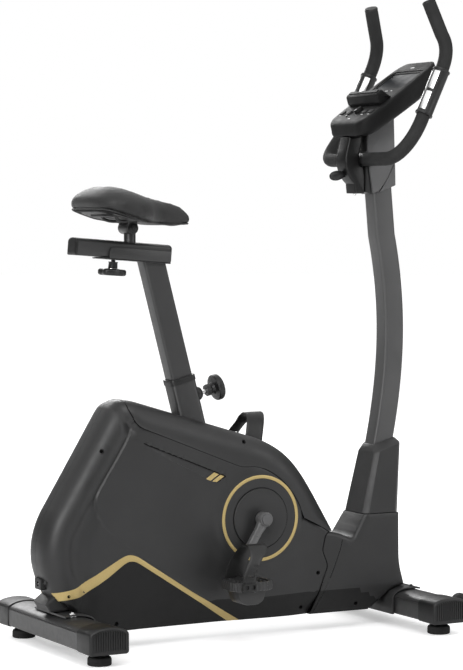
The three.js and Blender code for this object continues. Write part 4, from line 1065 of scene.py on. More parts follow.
def foot(name, x, side):
    pad = ((0, 0), (22.5, 0), (24.4, 1), (25, 3), (25, 6.4), (24.2, 7), (25, 7.6), (25, 13), (23.6, 16.6), (20, 19),
           (9, 19.4), (9, 22), (0, 22))
    nut = ((0, 21.8), (11.5, 21.8), (11.5, 27.2), (10.6, 28), (0, 28))
    place = (x, side * FOOT_Y, 0)
    piece(name + "_pad", merge(turned(pad, place, Z, 48), rod(6.9, 27, 40.6, place, Z, 24)), name, "foot_rubber", name)
    piece(name + "_nut", turned(nut, place, Z, 6), name, "frame_paint", look="chrome")


# ---------------------------------------------------------------- frame and mast

LOCK_DROP = 45  # from the seat tube's mouth down to its lock knob
BAR_MIDDLE = (315, 0, 1038)
MAST_FOOT, MAST_KNEE = (322, 200), (366, 410)
MAST_SHOULDER, MAST_TOP = (371, 870), (351, 1092)


def tube_z(outer, inner, low, high, mouth=60, rim=1.2):
    """A box tube along Z, open at its top, with a rolled mouth."""
    return loft([level(outer, low), level(outer, high - rim), level(outer * (1 - rim / 60), high), level(inner, high),
                 level(inner, high - mouth)])


def make_frame():
    bore = rounded_box(51.6, 39.6, 6, 6)
    tube = tube_z(rounded_box(58, 46, 9, 6), bore, -490, 0)
    lip = tube_z(rounded_box(61, 49, 10.4, 6), bore, -9, 2.6, 8, 0.9)
    boss = turned(((0, 26), (14.5, 26), (15, 27), (15, 36), (13.8, 38.6), (11.4, 42), (0, 42)), (0, 0, -LOCK_DROP), X)
    piece("seat_tube", moved(tube, SEAT_FRAME), "frame", "frame_paint", "main_frame")
    piece("seat_tube_lip", moved(lip, SEAT_FRAME), "frame", "trim_plastic", sharp=40)
    piece("lock_boss", moved(boss, SEAT_FRAME), "frame", "trim_plastic", sharp=40)
    beam = slab(rounded_box(40, 40, 5) + (0, 72), "x", -374, 356)
    foot_point, knee = np.array((322, 0, 200.0)), np.array((366, 0, 410.0))
    stub = swept(rounded_box(36, 42, 5), [foot_point + unit(knee - foot_point) * t for t in (-116, 0, 110)])
    shell = turned(((9.4, -26), (21, -26), (21, 24), (9.4, 24)), HUB, Y)
    post = slab([(CRANK[0] + dx, z) for dx, z in ((-16, 91), (16, 91), (12, 244), (-12, 244))], "y", -18, 18, 2, 2)
    cheeks = [slab(((-345, 91), (-255, 91), (-278, 262), (-322, 262)), "y", y, y + 5, 0.8, 1) for y in (-52, 46)]
    feet = [slab(square(-345, -255, *ys), "z", 89, 93, 0.5, 1) for ys in ((-52, 0), (0, 51))]
    mount = slab(square(-149, -135, -40, -8), "z", 91, 213, 1, 1)
    pin = rod(4, 0, 31, (-158, -36, 205), Y, 20)
    arm = slab(square(-165, -135, 165, 213), "y", -40, -34, 1, 1)
    piece("frame_weldment", merge(beam, stub, shell, post, *cheeks, *feet, mount, pin, arm), "frame", "frame_paint")
    neck = ((-447, 121), (-459, 112), (-467, 104.5), (-461, 97), (-456, 87.5), (-420, 87.5), (-409, 92), (-384, 112),
            (-384, 121))
    piece("rear_neck", slab(neck, "y", -34, 34, 4, 2), "frame", "shell_plastic", sharp=20)


def mast_path():
    bow = bezier(MAST_KNEE, (402, 582), (403, 720), MAST_SHOULDER, steps=44)
    flat = np.vstack((MAST_FOOT, (333, 252), bow, (np.array(MAST_SHOULDER) + MAST_TOP) / 2, MAST_TOP))
    return np.c_[flat[:, 0], np.zeros(len(flat)), flat[:, 1]]


def make_mast():
    path = mast_path()
    piece("mast_tube", swept(rounded_box(44, 50, 8, 6), path), "frame", "frame_paint", "mast", look="mast_paint")
    upper = ((346, 967.5), (334, 963), (320, 1053), (320, 1096), (387, 1140), (389.5, 1064), (389.8, 1034))
    upper = np.vstack((soften(upper, 5), ((385, 1024), (372, 999), (346, 964))))
    lower = soften(((390, 1030), (386.0, 1024), (373, 998.6), (347, 964.6), (392, 981), (391, 1026)), 1.5)
    halves = [slab(upper, "y", -26.5, 26.5, 1.6, 3), slab(lower, "y", -26.4, 26.4, 1.4, 3)]
    head = piece("mast_head_covers", merge(*halves), "frame", "grey_plastic", "mast_head", sharp=30)
    groove = rod(15.4, -60, 60, BAR_MIDDLE, Y)
    carve(head, swept(rounded_box(44.6, 50.6, 8), path), groove, sharp=30)
    channel = ((316.5, 966), (333, 961.5), (333, 1000), (325, 1022), (316.5, 1022))
    channel_top = ((318, 1056), (327, 1056), (327, 1098), (317, 1092))
    piece("head_channel", merge(*(slab(part, "y", -21, 21, 2, 2) for part in (channel, channel_top))), "frame",
          "trim_plastic")
    clamp = np.vstack((
        bezier((311, 1022), (318, 1004), (315, 966), steps=5),
        ((314.6, 962.5), (291, 963), (289.5, 976)),
        bezier((289, 984), (272, 998), (264, 1018), (265, 1038)),
        bezier((266, 1050), (272, 1070), (275, 1087), steps=4),
        ((308, 1090),),
        bezier((308, 1074), (300, 1052), (299, 1038), (304, 1026)),
    ))
    cover = piece("clamp_cover_moulding", slab(clamp, "y", -22, 22, 5.5, 4), "frame", "trim_plastic", "clamp_cover",
                  look="gloss_black", sharp=30)
    carve(cover, groove, rod(5, 0, 40, (262, 0, 1003), (0.99, 0, 0.139), 24), sharp=30)
    screw = turned(((0, 0), (3.4, 0), (3.4, -2), (2, -4.5), (0, -5)), (301, 0, 962.6), Z, 20)
    piece("clamp_screw", screw, "frame", "chrome")
    make_clamp_knob()


def make_clamp_knob():
    """An oval paddle on a plated screw."""
    rings = []
    turn = circle(0, 0, 1, 24)
    for t in np.linspace(-1, 1, 19):
        size = math.sqrt(1 - abs(t) ** 2.4) * (1 - 0.22 * max(0.0, t))
        rings.append(np.c_[np.full(24, 20 * t), turn * (8.2 * size, 11 * size)])
    collar = turned(((0, 17), (6.4, 17), (6.8, 18), (6.8, 23), (6, 24), (0, 24)), axis=X, sides=32)
    at = Matrix.Translation((256, 0, 1002.3)) @ Matrix.Rotation(math.radians(-8), 4, "Y")
    piece("clamp_paddle", moved(merge(loft(rings), collar), at), "clamp_knob", "trim_plastic", "clamp_knob", sharp=50)
    piece("clamp_shaft", moved(rod(3.6, 23, 52, axis=X, sides=24), at), "clamp_knob", "chrome")


# ---------------------------------------------------------------- handlebar

GRIP = np.array(((384, 152, 1133), (431, 152, 1232)), float)


def bar_side(side):
    """Centre line of one half of the handlebar, from its middle to its tip."""
    line = np.vstack((
        [(BAR_MIDDLE[0], y, BAR_MIDDLE[2]) for y in (0, 30, 70)],
        bezier((314, 112, 1038), (311, 164, 1038), (354, 162, 1076), GRIP[0], steps=18),
        resample(GRIP, 12)[1:],
        bezier(GRIP[1], (454, 150, 1278), (441, 136, 1310), steps=12)[1:],
        resample(((441, 136, 1310), (417, 121, 1381)), 15)[1:],
    ))
    return line * (1, side, 1)


def make_handlebar():
    piece("handlebar_clamp_tube", rod(14.6, -29, 29, BAR_MIDDLE, Y, 48), "handlebar", "frame_paint", "handlebar",
          look="trim_plastic")
    for name, side in SIDES:
        path = bar_side(side)
        reach = lengths_along(path)
        line = cut_at(path, np.r_[27.4, 28.2, 30.5, reach[reach > 33]])
        scale = np.ones(len(line))
        scale[[0, 1, -1]] = 0.86, 0.95, 0.98
        foam = swept(circle(0, 0, 15, 28), line, side_hint=X, scale=scale)
        piece(f"{name}_bar_foam", foam, "handlebar", "bar_foam")
        plug = ((0, -1), (15.1, -1), (15.1, 2.2), (13.6, 4.2), (9, 4.8), (0, 5))
        piece(f"{name}_bar_plug", turned(plug, path[-1], path[-1] - path[-2], 32), "handlebar", "trim_plastic")
        make_grip(name, side)


def make_grip(name, side):
    """A pulse sleeve with two bright contact plates on the rider's side."""
    low, high = GRIP * (1, side, 1)
    length = float(np.linalg.norm(high - low))
    axis = (high - low) / length
    end = ((15.3, 0), (18.9, 0), (19.6, 0.8), (19.6, 4), (18.4, 5.2), (18.2, 6))
    profile = (*end, *((r, length - h) for r, h in end[::-1]))
    piece(f"{name}_pulse_sleeve", turned(profile, low, axis, 56), "handlebar", "grip_plastic", f"{name}_pulse_grip")
    plates = []
    angles = np.radians(np.linspace(-20, 20, 9))
    for facing in ((-0.85, 0.53 * side, 0.0), (-0.6, -0.8 * side, 0.0)):
        outward = unit(np.array(facing) - axis * (np.array(facing) @ axis))
        basis = np.array((outward, np.cross(axis, outward)))
        fan = np.c_[np.cos(angles), np.sin(angles)] @ basis
        for start, stop in ((8.5, length / 2 - 3.2), (length / 2 + 3.2, length - 8.5)):
            levels = ((start, 17.8), (start + 0.3, 18.7), (start + 1.2, 19.0), (stop - 1.2, 19.0), (stop - 0.3, 18.7),
                      (stop, 17.8))
            plates.append(loft([low + axis * h + np.vstack((r * fan, 17.2 * fan[::-1])) for h, r in levels]))
    piece(f"{name}_pulse_plates", merge(*plates), "handlebar", "chrome", look="bright_plate")


# ---------------------------------------------------------------- crank set

CRANK_LENGTH = 150
CRANK_LEAN = math.radians(32)
PEDAL_MIDDLE = 149


def make_cranks():
    crank_axle = turned(((0, -89), (7.6, -89), (8.5, -88), (8.5, 88), (7.6, 89), (0, 89)), HUB, Y, 32)
    piece("crank_spindle", crank_axle, "crank", "chrome", "crank_axle")
    wheel_axle = turned(((0, -51), (5.4, -51), (6, -50.4), (6, 50.4), (5.4, 51), (0, 51)), (-300, 0, 235), Y, 24)
    piece("flywheel_rod", wheel_axle, "frame", "chrome", "flywheel_axle")
    for name, side in SIDES:
        out = (0, side, 0)
        run = side * np.array((math.sin(CRANK_LEAN), math.cos(CRANK_LEAN)))
        end = CRANK + CRANK_LENGTH * run
        across = np.array((-run[1], run[0]))
        heading = math.degrees(math.atan2(across[1], across[0]))
        edge = ((CRANK + run * 10, 11), (CRANK + run * 28, 8.5), (end - run * 12, 8))
        outline = np.vstack((
            [point + across * half for point, half in edge],
            arc(*end, 11.5, heading + 30, heading - 210, 14),
            [point - across * half for point, half in edge[::-1]],
            arc(*CRANK, 13.5, heading + 165, heading + 15, 10),
        ))
        web = side_slab(outline, side, 76, 90, 2.6, 3)
        hub = turned(((9.2, 69.6), (15, 69.6), (15.6, 71), (15.6, 91), (14.8, 92.6), (13, 93.2), (9.2, 93.2)), HUB, out)
        piece(f"{name}_crank", merge(web, hub), "crank", "frame_paint", f"{name}_crank_arm", look="crank_steel",
              sharp=36)
        cap = ((0, 90), (12.6, 90), (12.6, 95.5), (11.6, 97.4), (8.5, 98.6), (4, 99.2), (0, 99.4))
        piece(f"{name}_crank_cap", turned(cap, HUB, out), "crank", "trim_plastic", look="grey_plastic")
        pedal_eye = (end[0], 0, end[1])
        spindle = turned(((0, 87), (7.2, 87), (7.2, 184), (6.4, 185), (0, 185)), pedal_eye, out, 32)
        eye = turned(((7.4, 89.6), (9.4, 89.6), (9.6, 90.4), (8.6, 92), (7.4, 92)), pedal_eye, out, 32)
        piece(f"{name}_pedal_spindle", merge(spindle, eye), "crank", "chrome")
        disc = ((9.0, 63.1), (64.6, 63.1), (65, 63.5), (65, 66), (64.3, 66.8), (60, 67), (23, 67), (21.5, 66.4),
                (20.8, 66.4), (9.0, 66.4))
        piece(f"{name}_crank_disc", turned(disc, HUB, out, 96), "crank", "shell_plastic", f"{name}_crank_cover")
        make_pedal(name, side, end)
        make_strap(name, side, end)


def make_pedal(name, side, end):
    """A platform with a toothed rim, open treads and a weighted keel."""
    at = Matrix.Translation((end[0], side * PEDAL_MIDDLE, end[1]))
    rim = resample(loop(rounded_box(100, 86, 28, 8)), 2.4)[:-1]
    outward = unit(rim)
    toothed = rim - outward * (np.arange(len(rim))[:, None] % 4 < 2) * 1.3
    inner = rim - outward * 9
    levels = ((toothed, -8, -1), (toothed, -9.4, -3), (inner, -9.4, 0), (inner, 9.4, 0), (toothed, 9.4, -3),
              (toothed, 8, -1), (toothed, 0, 0))
    parts = [closed_loft([level(ring + outward * grow, z) for ring, z, grow in levels])]
    for x in (-33, -20, 20, 33):
        reach = 36 - max(0, abs(x) - 24) * 0.6
        parts.append(slab(square(x - 2.6, x + 2.6, -reach, reach), "z", -7.5, 8.6, 1, 1))
    parts += [slab(square(-40, 40, y - 2, y + 2), "z", -7, 7.6, 0.8, 1) for y in (-24, -8, 8, 24)]
    parts.append(turned(((7.8, -40), (12, -40), (12.6, -38), (12.6, 38), (12, 40), (7.8, 40)), axis=Y, sides=32))
    keel = soften(((-36, -6), (-28, -34), (-15, -41), (15, -41), (28, -34), (36, -6)), 7)
    parts.append(slab(keel, "y", -24, 24, 3, 2))
    parts += [turned(((0, 7), (2.2, 7), (2.0, 10), (1.2, 10.6), (0, 10.6)), (x, y, 0), Z, 12)
              for x in (-26.5, 26.5) for y in (-27, -9, 9, 27)]
    piece(f"{name}_pedal_platform", moved(merge(*parts), at), f"{name}_pedal", "pedal_plastic", f"{name}_pedal",
          sharp=34)


def make_strap(name, side, end):
    """A toe strap that is wide over the foot and narrows to the buckle on the outer rim."""
    half = 46.2
    line = np.vstack((bezier((-half, -10), (-half - 1, 40), (-27, 83), (0, 83), steps=12),
                      bezier((0, 83), (27, 83), (half + 1, 40), (half, -10), steps=14)[1:]))
    rings = []
    for point, out, t in zip(line, left_of(line), np.linspace(0, 1, len(line))):
        wide = 22 - 7 * ease(t, 0.6, 0.72)
        lean = 26 * ease(t, 0, 0.45) - 8 - 40 * ease(t, 0.55, 0.98)
        section = ((-wide + 0.8, 0), (wide - 0.8, 0), (wide, 0.7), (wide, 1.9), (wide - 0.8, 2.6), (wide * 0.5, 2.9),
                   (-wide * 0.5, 2.9), (-wide + 0.8, 2.6), (-wide, 1.9), (-wide, 0.7))
        rings.append(np.array([(end[0] + u + lean, side * (PEDAL_MIDDLE + point[0] + v * out[0] * 0.8),
                                end[1] + point[1] + v * out[1] * 0.8) for u, v in section]))
    band = piece(f"{name}_toe_strap", loft(rings), f"{name}_pedal", "strap_rubber", f"{name}_pedal_strap", sharp=40)
    rim = PEDAL_MIDDLE + half
    slots = [side_slab(rounded_box(15, 6, 2.8) + end + at, side, rim - 6, rim + 9)
             for at in ((3, 46), (-6, 35), (-13, 24))]
    bore = rod(8.6, -20, 20, (end[0], side * (rim - 92), end[1]), Y, 32)
    carve(band, *slots, bore, sharp=40)
    buckle = side_slab(rounded_box(34, 17, 3) + end + (-20, 1), side, rim + 0.4, rim + 5.2, 1.2, 2)
    made = piece(f"{name}_strap_buckle", buckle, f"{name}_pedal", "strap_rubber", look="trim_plastic")
    carve(made, *(side_slab(rounded_box(10, 9, 1.5) + end + (dx, 1), side, rim - 1, rim + 8) for dx in (-28, -12)))


# ---------------------------------------------------------------- seat

SLIDER_LEAN = math.radians(4.5)
SLIDER_FRAME = Matrix.Translation((-287, 0, 843)) @ Matrix.Rotation(SLIDER_LEAN, 4, "Y")
SLIDER_LOW = -18.5  # underside of the slider
CHANNEL_FLOOR, CHANNEL_THICK = -18.8, 3.5
SADDLE_FRAME = Matrix.Translation((-228, 0, 909)) @ Matrix.Rotation(math.radians(6), 4, "Y")


def along_x(stations):
    """The slider's arched section at several stations, each with its scale."""
    turn = np.linspace(0, math.pi, 15)
    section = np.vstack((arc(-19, SLIDER_LOW + 3, 3, 180, 270, 3), arc(19, SLIDER_LOW + 3, 3, 270, 360, 3),
                         np.c_[22 * np.cos(turn), 9.5 + 9 * np.sin(turn)]))
    return loft([level(section * s, x)[:, (2, 0, 1)] for x, s in stations])


def make_seat_slider():
    post = turned(((0, 12), (13.4, 12), (12.8, 16), (12.5, 18), (12.5, 38), (11.6, 39.4), (0, 39.4)), (33, 0, 0),
                  (-math.sin(SLIDER_LEAN), 0, math.cos(SLIDER_LEAN)))
    piece("slider_tube", moved(merge(along_x(((-99, 1), (118.6, 1))), post), SLIDER_FRAME), "seat_slider",
          "frame_paint", "seat_slider", sharp=40)
    stations = ((117.4, 1.0), (118.0, 1.012), (120.0, 1.012), (121.6, 0.99), (122.6, 0.9), (123.0, 0.7))
    plugs = [along_x([(end * x + shift, s) for x, s in stations]) for end, shift in ((-1, 20), (1, 0))]
    piece("slider_plugs", moved(merge(*plugs), SLIDER_FRAME), "seat_slider", "trim_plastic", sharp=40)

    base, under = CHANNEL_FLOOR, CHANNEL_FLOOR - CHANNEL_THICK
    side_view = np.vstack((((118, under), (118, base + 23)), arc(-15, base + 12, 11, 90, 180, 6), ((-26, under),)))
    walls = [slab(side_view, "y", *ys, 1.4, 2) for ys in ((-28, -22.4), (22.4, 28))]
    floor = slab(square(-40, 118, -28, 28), "z", under, base, 1, 1)
    piece("carriage_channel", moved(merge(*walls, floor), SLIDER_FRAME), "seat_post", "frame_paint", "seat_carriage",
          sharp=40)

    # The post rises along the seat tube's lean to the plane under the channel.
    normal = np.array(SLIDER_FRAME.to_3x3() @ Vector(Z))
    plane = np.array(SLIDER_FRAME @ Vector((0, 0, under - 0.1)))
    up = np.array(SEAT_FRAME.to_3x3() @ Vector(Z))
    foot_ring = moved((level(rounded_box(50.4, 38.4, 6, 6), -300), ()), SEAT_FRAME)[0]
    top_ring = foot_ring + up * ((plane - foot_ring) @ normal / (up @ normal))[:, None]
    piece("seat_post_tube", loft([foot_ring, top_ring]), "seat_post", "frame_paint", "seat_post", sharp=40)


def make_knobs():
    at = SLIDER_FRAME @ Matrix.Translation((-4, 0, SLIDER_LOW - CHANNEL_THICK + 8.2))
    turn = np.linspace(0, 2 * math.pi, 80, endpoint=False)
    lobes = (28 + 3.2 * np.cos(5 * turn))[:, None] * np.c_[np.cos(turn), np.sin(turn)]
    hand = loft([level(lobes * scale, z) for z, scale in (
        (-42, 0.72), (-41.8, 0.84), (-40.6, 0.94), (-38, 1.0), (-31.5, 1.0), (-29, 0.95), (-28, 0.86), (-27.9, 0.5))])
    stem = turned(((0, -29), (11, -29), (11, -27), (10, -26), (9.4, -15), (10.4, -13.4), (10.4, -12.7), (4.4, -12.6),
                   (4.4, -8.5), (0, -8.5)))
    piece("slider_hand_knob", moved(merge(hand, stem), at), "slider_knob", "trim_plastic", "slider_knob", sharp=40)
    ring = turned(((12.8, -27.6), (14.2, -27.6), (14.2, -27.0), (12.8, -27.0)))
    piece("slider_knob_ring", moved(ring, at), "slider_knob", "chrome")

    at = SEAT_FRAME @ Matrix.Translation((57, 0, -LOCK_DROP)) @ Matrix.Rotation(math.radians(90), 4, "Y")
    pin = turned(((0, -29), (4, -29), (4.8, -28), (4.8, -1), (0, -1)), sides=24)
    collar = turned(((0, -2), (12.4, -2), (13, -1), (13, 8), (11.4, 10.4), (0, 10.4)), sides=8)
    grip = turned(((0, 6), (9.5, 6), (10.5, 12), (14, 16), (22, 17.6), (26.4, 18.4), (28.2, 20.4), (28.5, 23),
                   (28.5, 28.6), (27.8, 31), (25.4, 33.2), (20, 34.4), (10, 35), (0, 35)), sides=56)
    piece("lock_knob_grip", moved(merge(collar, grip), at), "adjust_knob", "trim_plastic", "adjust_knob", sharp=30)
    piece("lock_knob_pin", moved(pin, at), "adjust_knob", "chrome")


def saddle_plan(grow=0.0, steps=9):
    side, waist, nose = -112 - grow, -26 - grow, 120 + grow
    return both_halves(np.vstack((
        bezier((-140 - grow, 0), (-140 - grow, -78), (-132, side), (-74, side), steps=steps),
        bezier((-74, side), (-12, side), (4, -42 - grow), (60, waist), steps=steps)[1:],
        bezier((60, waist), (100, -20 - grow), (nose, -18), (nose, 0), steps=steps)[1:],
    )))


def saddle_top(x):
    """Height of the saddle's crest over its pan, raised at the back and dropping to the nose."""
    along, height = (-140, -115, -88, -62, -30, 0, 40, 75, 104, 120), (43, 54, 56, 52, 45.5, 40, 37, 36.5, 32, 23)
    return sum(np.interp(x + shift, along, height) for shift in (-14, -5, 5, 14)) / 4


def saddle_hem(x):
    """Height of the cushion's lower edge, which sweeps down from the back to the waist."""
    return np.interp(x, (-140, -110, -62, -20, 60, 120), (8, 2, -8, -12, -8, 0))


def drawn_in(plan, low, high):
    """The spine that an outline shrinks towards, each point's way out from it, and that way's length."""
    centre = np.c_[np.clip(plan[:, 0], low, high), np.zeros(len(plan))]
    away = plan - centre
    return centre, away, np.linalg.norm(away, axis=1)[:, None]


def make_saddle():
    levels = ((0.0, -7), (0.05, -2), (0.2, -0.5), (0.42, 0), (0.6, -3), (0.75, -10), (0.87, -23), (0.95, -41),
              (1.0, -66))
    centre, away, reach = drawn_in(saddle_plan(), -82, 92)
    rings = []
    for share, grow in levels:
        least = np.interp(share, (0.9, 1), (0.32, 0.12))
        flat = centre + away * np.maximum(1 + grow * (0.55 + 0.45 * reach / 110) / reach, least)
        x, y = flat.T
        hem = saddle_hem(x)
        dip = 1.5 * np.exp(-((y / 16) ** 2)) * ease(x, -140, -60) * (share > 0.6)
        rings.append(np.c_[flat, hem + (saddle_top(x) - hem - dip - 0.0011 * y**2) * share])
    cushion = piece("saddle_cushion_cover", moved(loft(rings), SADDLE_FRAME), "saddle", "saddle_leather",
                    "saddle_cushion", sharp=180)
    puff_up(cushion, 0.006, 0.0045)
    make_piping()
    pan = []
    for z, grow in ((-1.8, -18), (-1.4, -16), (0, -14), (4, -12), (10, -13)):
        flat = saddle_plan(grow)
        pan.append(np.c_[flat, z + saddle_hem(flat[:, 0]) * 0.85])
    piece("saddle_pan", moved(loft(pan), SADDLE_FRAME), "saddle", "trim_plastic", "saddle_base", look="seam_black")
    make_saddle_frame()


def subdivided(made, levels):
    finer = made.modifiers.new("finer", "SUBSURF")
    finer.levels = finer.render_levels = levels
    applied(made)
    shade(made.data, 180)


def make_piping():
    """The sewn edge round the foot of the cushion."""
    plan = saddle_plan(-10, 14)
    path = np.c_[plan, saddle_hem(plan[:, 0]) + 0.8]
    out = np.cross(unit(np.roll(path, -1, axis=0) - np.roll(path, 1, axis=0)), Z)
    rings = [point + circle(0, 0, 1.8, 8) @ np.array((away, Z)) for point, away in zip(path, out)]
    piece("saddle_piping", moved(closed_loft(rings), SADDLE_FRAME), "saddle", "saddle_leather", sharp=180)


def puff_up(made, voxel, cap):
    """Swells a closed pad with a short cloth simulation, held to a largest move."""
    remesh = made.modifiers.new("remesh", "REMESH")
    remesh.mode, remesh.voxel_size = "VOXEL", voxel
    applied(made)
    body, scene = made.parent, bpy.context.scene
    start = np.array([v.co for v in made.data.vertices])
    cloth = made.modifiers.new("cloth", "CLOTH")
    settings = cloth.settings
    settings.quality = 6
    settings.mass = 0.3
    settings.tension_stiffness = settings.compression_stiffness = 18
    settings.shear_stiffness = 12
    settings.bending_stiffness = 4
    settings.use_pressure = True
    settings.uniform_pressure_force = 4
    settings.effector_weights.gravity = 0
    cloth.point_cache.frame_start, cloth.point_cache.frame_end = 1, 20
    for step in range(1, 21):
        scene.frame_set(step)
    applied(made)
    scene.frame_set(1)
    shift = np.array([v.co for v in made.data.vertices]) - start
    size = np.linalg.norm(shift, axis=1)
    shift *= (np.minimum(size, cap) / np.maximum(size, 1e-9))[:, None]
    made.data.vertices.foreach_set("co", (start + shift).ravel())
    made.data.update()
    made.modifiers.new("relax", "SMOOTH").iterations = 4
    subdivided(made, 1)
    made.parent = body


def make_saddle_frame():
    """Bent wires, their cross plate and the clamp under the pan."""
    wire = circle(0, 0, 3.4, 14)
    half = ((-306, 36, 918), (-303, 34, 912), (-296, 30, 905), (-280, 24, 902), (-258, 21, 904), (-232, 20, 904),
            (-205, 16, 901), (-180, 12, 898), (-170, 10, 902))
    bend = ((-172, 11, 901), (-163, 9, 899), (-160, 0, 898.5), (-163, -9, 899), (-172, -11, 901))
    wires = [swept(wire, smooth_path(np.array(half) * (1, side, 1))) for side in (-1, 1)]
    wires.append(swept(wire, smooth_path(bend), side_hint=Z))
    piece("saddle_wires", merge(*wires), "saddle", "chrome", "saddle_rails", look="frame_paint")
    plate = slab(rounded_box(34, 52, 5) + (-258, 0), "z", 903.5, 908.5, 1, 1)
    rear = slab(rounded_box(20, 84, 5) + (-318, 0), "z", 911, 915, 1, 1)
    piece("saddle_plates", merge(plate, rear), "saddle", "chrome", look="grey_plastic")
    barrel = turned(((0, -24), (12.4, -24), (13, -23), (13, 23), (12.4, 24), (0, 24)), (-258, 0, 888), Y)
    ear = np.vstack((arc(-258, 888, 12, 190, 350, 10), ((-248, 906), (-268, 906))))
    ears = [slab(ear, "y", y, y + 3.2, 0.8, 1) for y in (-24, 20.8)]
    piece("saddle_clamp_barrel", merge(barrel, *ears), "saddle", "chrome", "saddle_clamp", look="frame_paint", sharp=36)
    nuts = [bolt((-258, side * 24.6, 888), (0, side, 0), 6.6, 8.6) for side in (-1, 1)]
    piece("saddle_clamp_nuts", merge(*nuts), "saddle", "chrome", look="trim_plastic")


def smooth_path(points):
    """A Catmull-Rom curve through points."""
    points = np.asarray(points, float)
    ends = np.vstack((2 * points[0] - points[1], points, 2 * points[-1] - points[-2]))
    out = [points[0]]
    for a, b, c, d in zip(ends, ends[1:], ends[2:], ends[3:]):
        for t in np.linspace(0, 1, 5)[1:]:
            out.append(0.5 * (2 * b + (c - a) * t + (2 * a - 5 * b + 4 * c - d) * t**2
                              + (3 * b - a - 3 * c + d) * t**3))
    return np.array(out)


# ---------------------------------------------------------------- console

FACE = Matrix.Translation((276, 0, 1121)) @ Matrix.Rotation(-math.radians(34.8), 4, "Y")
BUTTON_ROW = (60, 33, -33, -60)
DIAL_ALONG = 44
DISPLAY_ALONG = 166


def console_ring(share, chin, inset):
    """Outline of the console at a share of its depth, with its chin moved out and its edge moved in."""
    plan = both_halves(np.vstack((
        ((chin, 0),),
        bezier((chin, -46), (chin, -74), (20, -80), steps=9),
        bezier((20, -80), (110, -88), (206, -77), steps=12)[1:],
        bezier((206, -77), (240, -71), (240, -42), steps=9)[1:],
        ((240, 0),),
    )))
    centre, away, reach = drawn_in(plan, 40, 190)
    flat = centre + away * np.maximum(1 - inset / reach, 0.02)
    depth = np.interp(flat[:, 0], (-17, 8, 63, 165, 207, 229, 237), (33, 41, 43.5, 46, 34, 20, 8))
    return np.c_[flat, -share * depth]


def face_box(width, height, radius, along, across, low, high, edge=0.0, steps=3, corner=5):
    """A rounded block that stands on the console's face."""
    return moved(slab(rounded_box(width, height, radius, corner) + (along, across), "z", low, high, edge, steps), FACE)


def make_console():
    levels = ((0.0, 0.0, 6.0), (0.015, -2.5, 3.4), (0.05, -4.6, 1.5), (0.11, -6.4, 0.4), (0.2, -8.5, 0.0),
              (0.45, -13, 0.5), (0.66, -18, 1.6), (0.8, -20.5, 3.6), (0.91, -20.5, 7), (0.98, -18, 12), (1.0, -13, 19))
    housing = piece("console_shell", moved(loft([console_ring(*row) for row in levels]), FACE), "frame",
                    "console_plastic", "console_housing", sharp=26)
    pocket = face_box(60, 110, 4, DISPLAY_ALONG, 0, -7.6, 6)
    bezel = face_box(76, 124, 8, DISPLAY_ALONG, 0, -1.2, 6)
    dial_well = moved(rod(12, -8.5, 4, (DIAL_ALONG, 0, 0)), FACE)
    wells = [face_box(13, 17, 3, 38, y, -11, 6) for y in BUTTON_ROW]
    carve(housing, pocket, bezel, dial_well, *wells, face_box(26, 56, 12, 30, 0, -0.7, 6), sharp=26)
    shelf = loop(((63, -2), (61, 8), (66, 23), (70, 26), (82, 26.5), (86, 24), (97, -2)))
    shelf = moved(slab(soften(shelf, 2.5)[:-1], "y", -66, 66, 3.5, 3), FACE)
    lip = face_box(10, 118, 3, 77, 0, 25.4, 28.2, 1, 1)
    piece("console_ledge", merge(shelf, lip), "frame", "console_plastic", sharp=30)
    pane = face_box(59, 109, 3.6, DISPLAY_ALONG, 0, -7.2, -2.2, 0.4, 1)
    piece("display_pane", pane, "frame", "screen_plastic", "console_screen")
    for i, y in enumerate(BUTTON_ROW, 1):
        cap = face_box(11.6, 15.6, 3, 38, y, -8, 2.4, 1.2, 2)
        piece(f"button_{i}_cap", cap, f"button_{i}", "button_rubber", f"console_button_{i}")
    teeth = (np.arange(72) % 4 < 2)[:, None]
    knurl = [level(circle(0, 0, 1, 72) * (r - bite * teeth) + (DIAL_ALONG, 0), z) for z, r, bite in (
        (-7, 10.6, 0), (-1, 10.8, 0.3), (4.6, 10.4, 0.5), (6.4, 9.4, 0.3), (7, 7.6, 0), (6.2, 6.6, 0))]
    piece("dial_cap", moved(loft(knurl), FACE), "console_dial", "console_plastic", "console_dial")
    mark = face_box(6, 1.2, 0.4, DIAL_ALONG - 6, 0, 6.4, 7.3)
    piece("dial_mark", mark, "console_dial", "console_plastic", look="label_ink")
    make_labels()


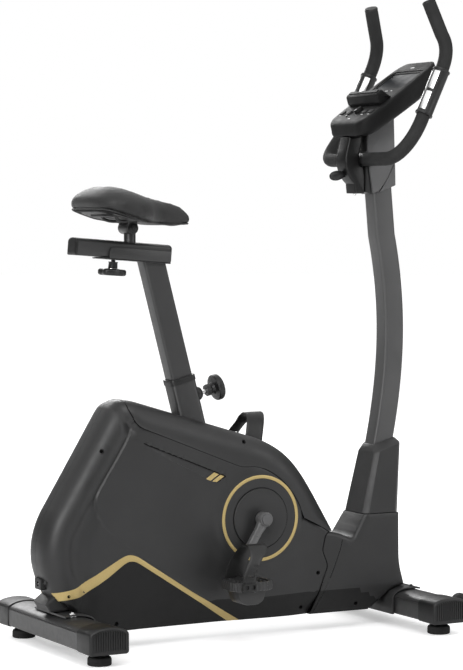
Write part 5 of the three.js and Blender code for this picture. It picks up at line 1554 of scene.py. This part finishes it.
def make_labels():
    """Plain dashes by the buttons and an arc beside the dial, in place of any lettering."""
    def dash(width, height, radius, along, across, corner=2):
        return face_box(width, height, radius, along, across, -0.2, 0.25, corner=corner)

    marks = [dash(1.5, wide, 0.5, 27.5, y + k) for y in BUTTON_ROW for k, wide in ((-3.2, 3.4), (1.6, 4.6))]
    swing = np.vstack((arc(DIAL_ALONG, 0, 17.2, -52, 96, 16), arc(DIAL_ALONG, 0, 15.4, 96, -52, 16)))
    marks += [moved(slab(swing, "z", -1.0, -0.4), FACE), dash(2.0, 9, 0.8, 12, 0)]
    marks += [dash(2.2, wide, 0.8, 121.5, across) for wide, across in ((8, 30), (5, 9), (11, -12), (6, -33))]
    marks.append(dash(3.4, 14, 1.4, 217, 3, 3))
    piece("console_labels", merge(*marks), "frame", "console_plastic", look="label_ink")


# ---------------------------------------------------------------- power inlet and the drive inside


def make_inlet():
    inlet = piece("inlet_housing", slab(rounded_box(32, 24, 3) + (0, 145), "x", -470, -445, 1.2, 2), "frame",
                  "trim_plastic", "power_inlet")
    carve(inlet, rod(5.6, 0, 14, (-471, 0, 145), X, 28))
    piece("inlet_contact", rod(1.2, 0, 12, (-469, 0, 145), X, 14), "frame", "chrome")
    blank = turned(((0, -1), (4.2, -1), (4.2, 0.2), (3.6, 0.6), (0, 0.6)), (-464.5, -26, 150), (-0.93, -0.36, 0), 24)
    piece("rear_blank", blank, "frame", "shell_plastic")


def dress_inner_nodes():
    """The drive inside the body keeps its CAD meshes."""
    looks = {
        "flywheel": "flywheel_iron", "brake_shoe": "frame_paint", "idler_roller": "pulley_plastic",
        "idler_arm": "frame_paint", "tension_motor": "pulley_plastic", "drive_pulley": "pulley_plastic",
        "drive_belt": "strap_rubber",
    }
    for node, look in looks.items():
        mesh = frame["nodes"][node].data
        mesh.materials.clear()
        mesh.materials.append(LOOKS[look])


# ---------------------------------------------------------------- build

for make in (make_camera, make_studio, make_shells, make_cover, make_front_cover, make_boot, make_trims,
             make_body_screws, make_base, make_frame, make_mast, make_handlebar, make_cranks, make_seat_slider,
             make_knobs, make_saddle, make_console, make_inlet, dress_inner_nodes):
    make()
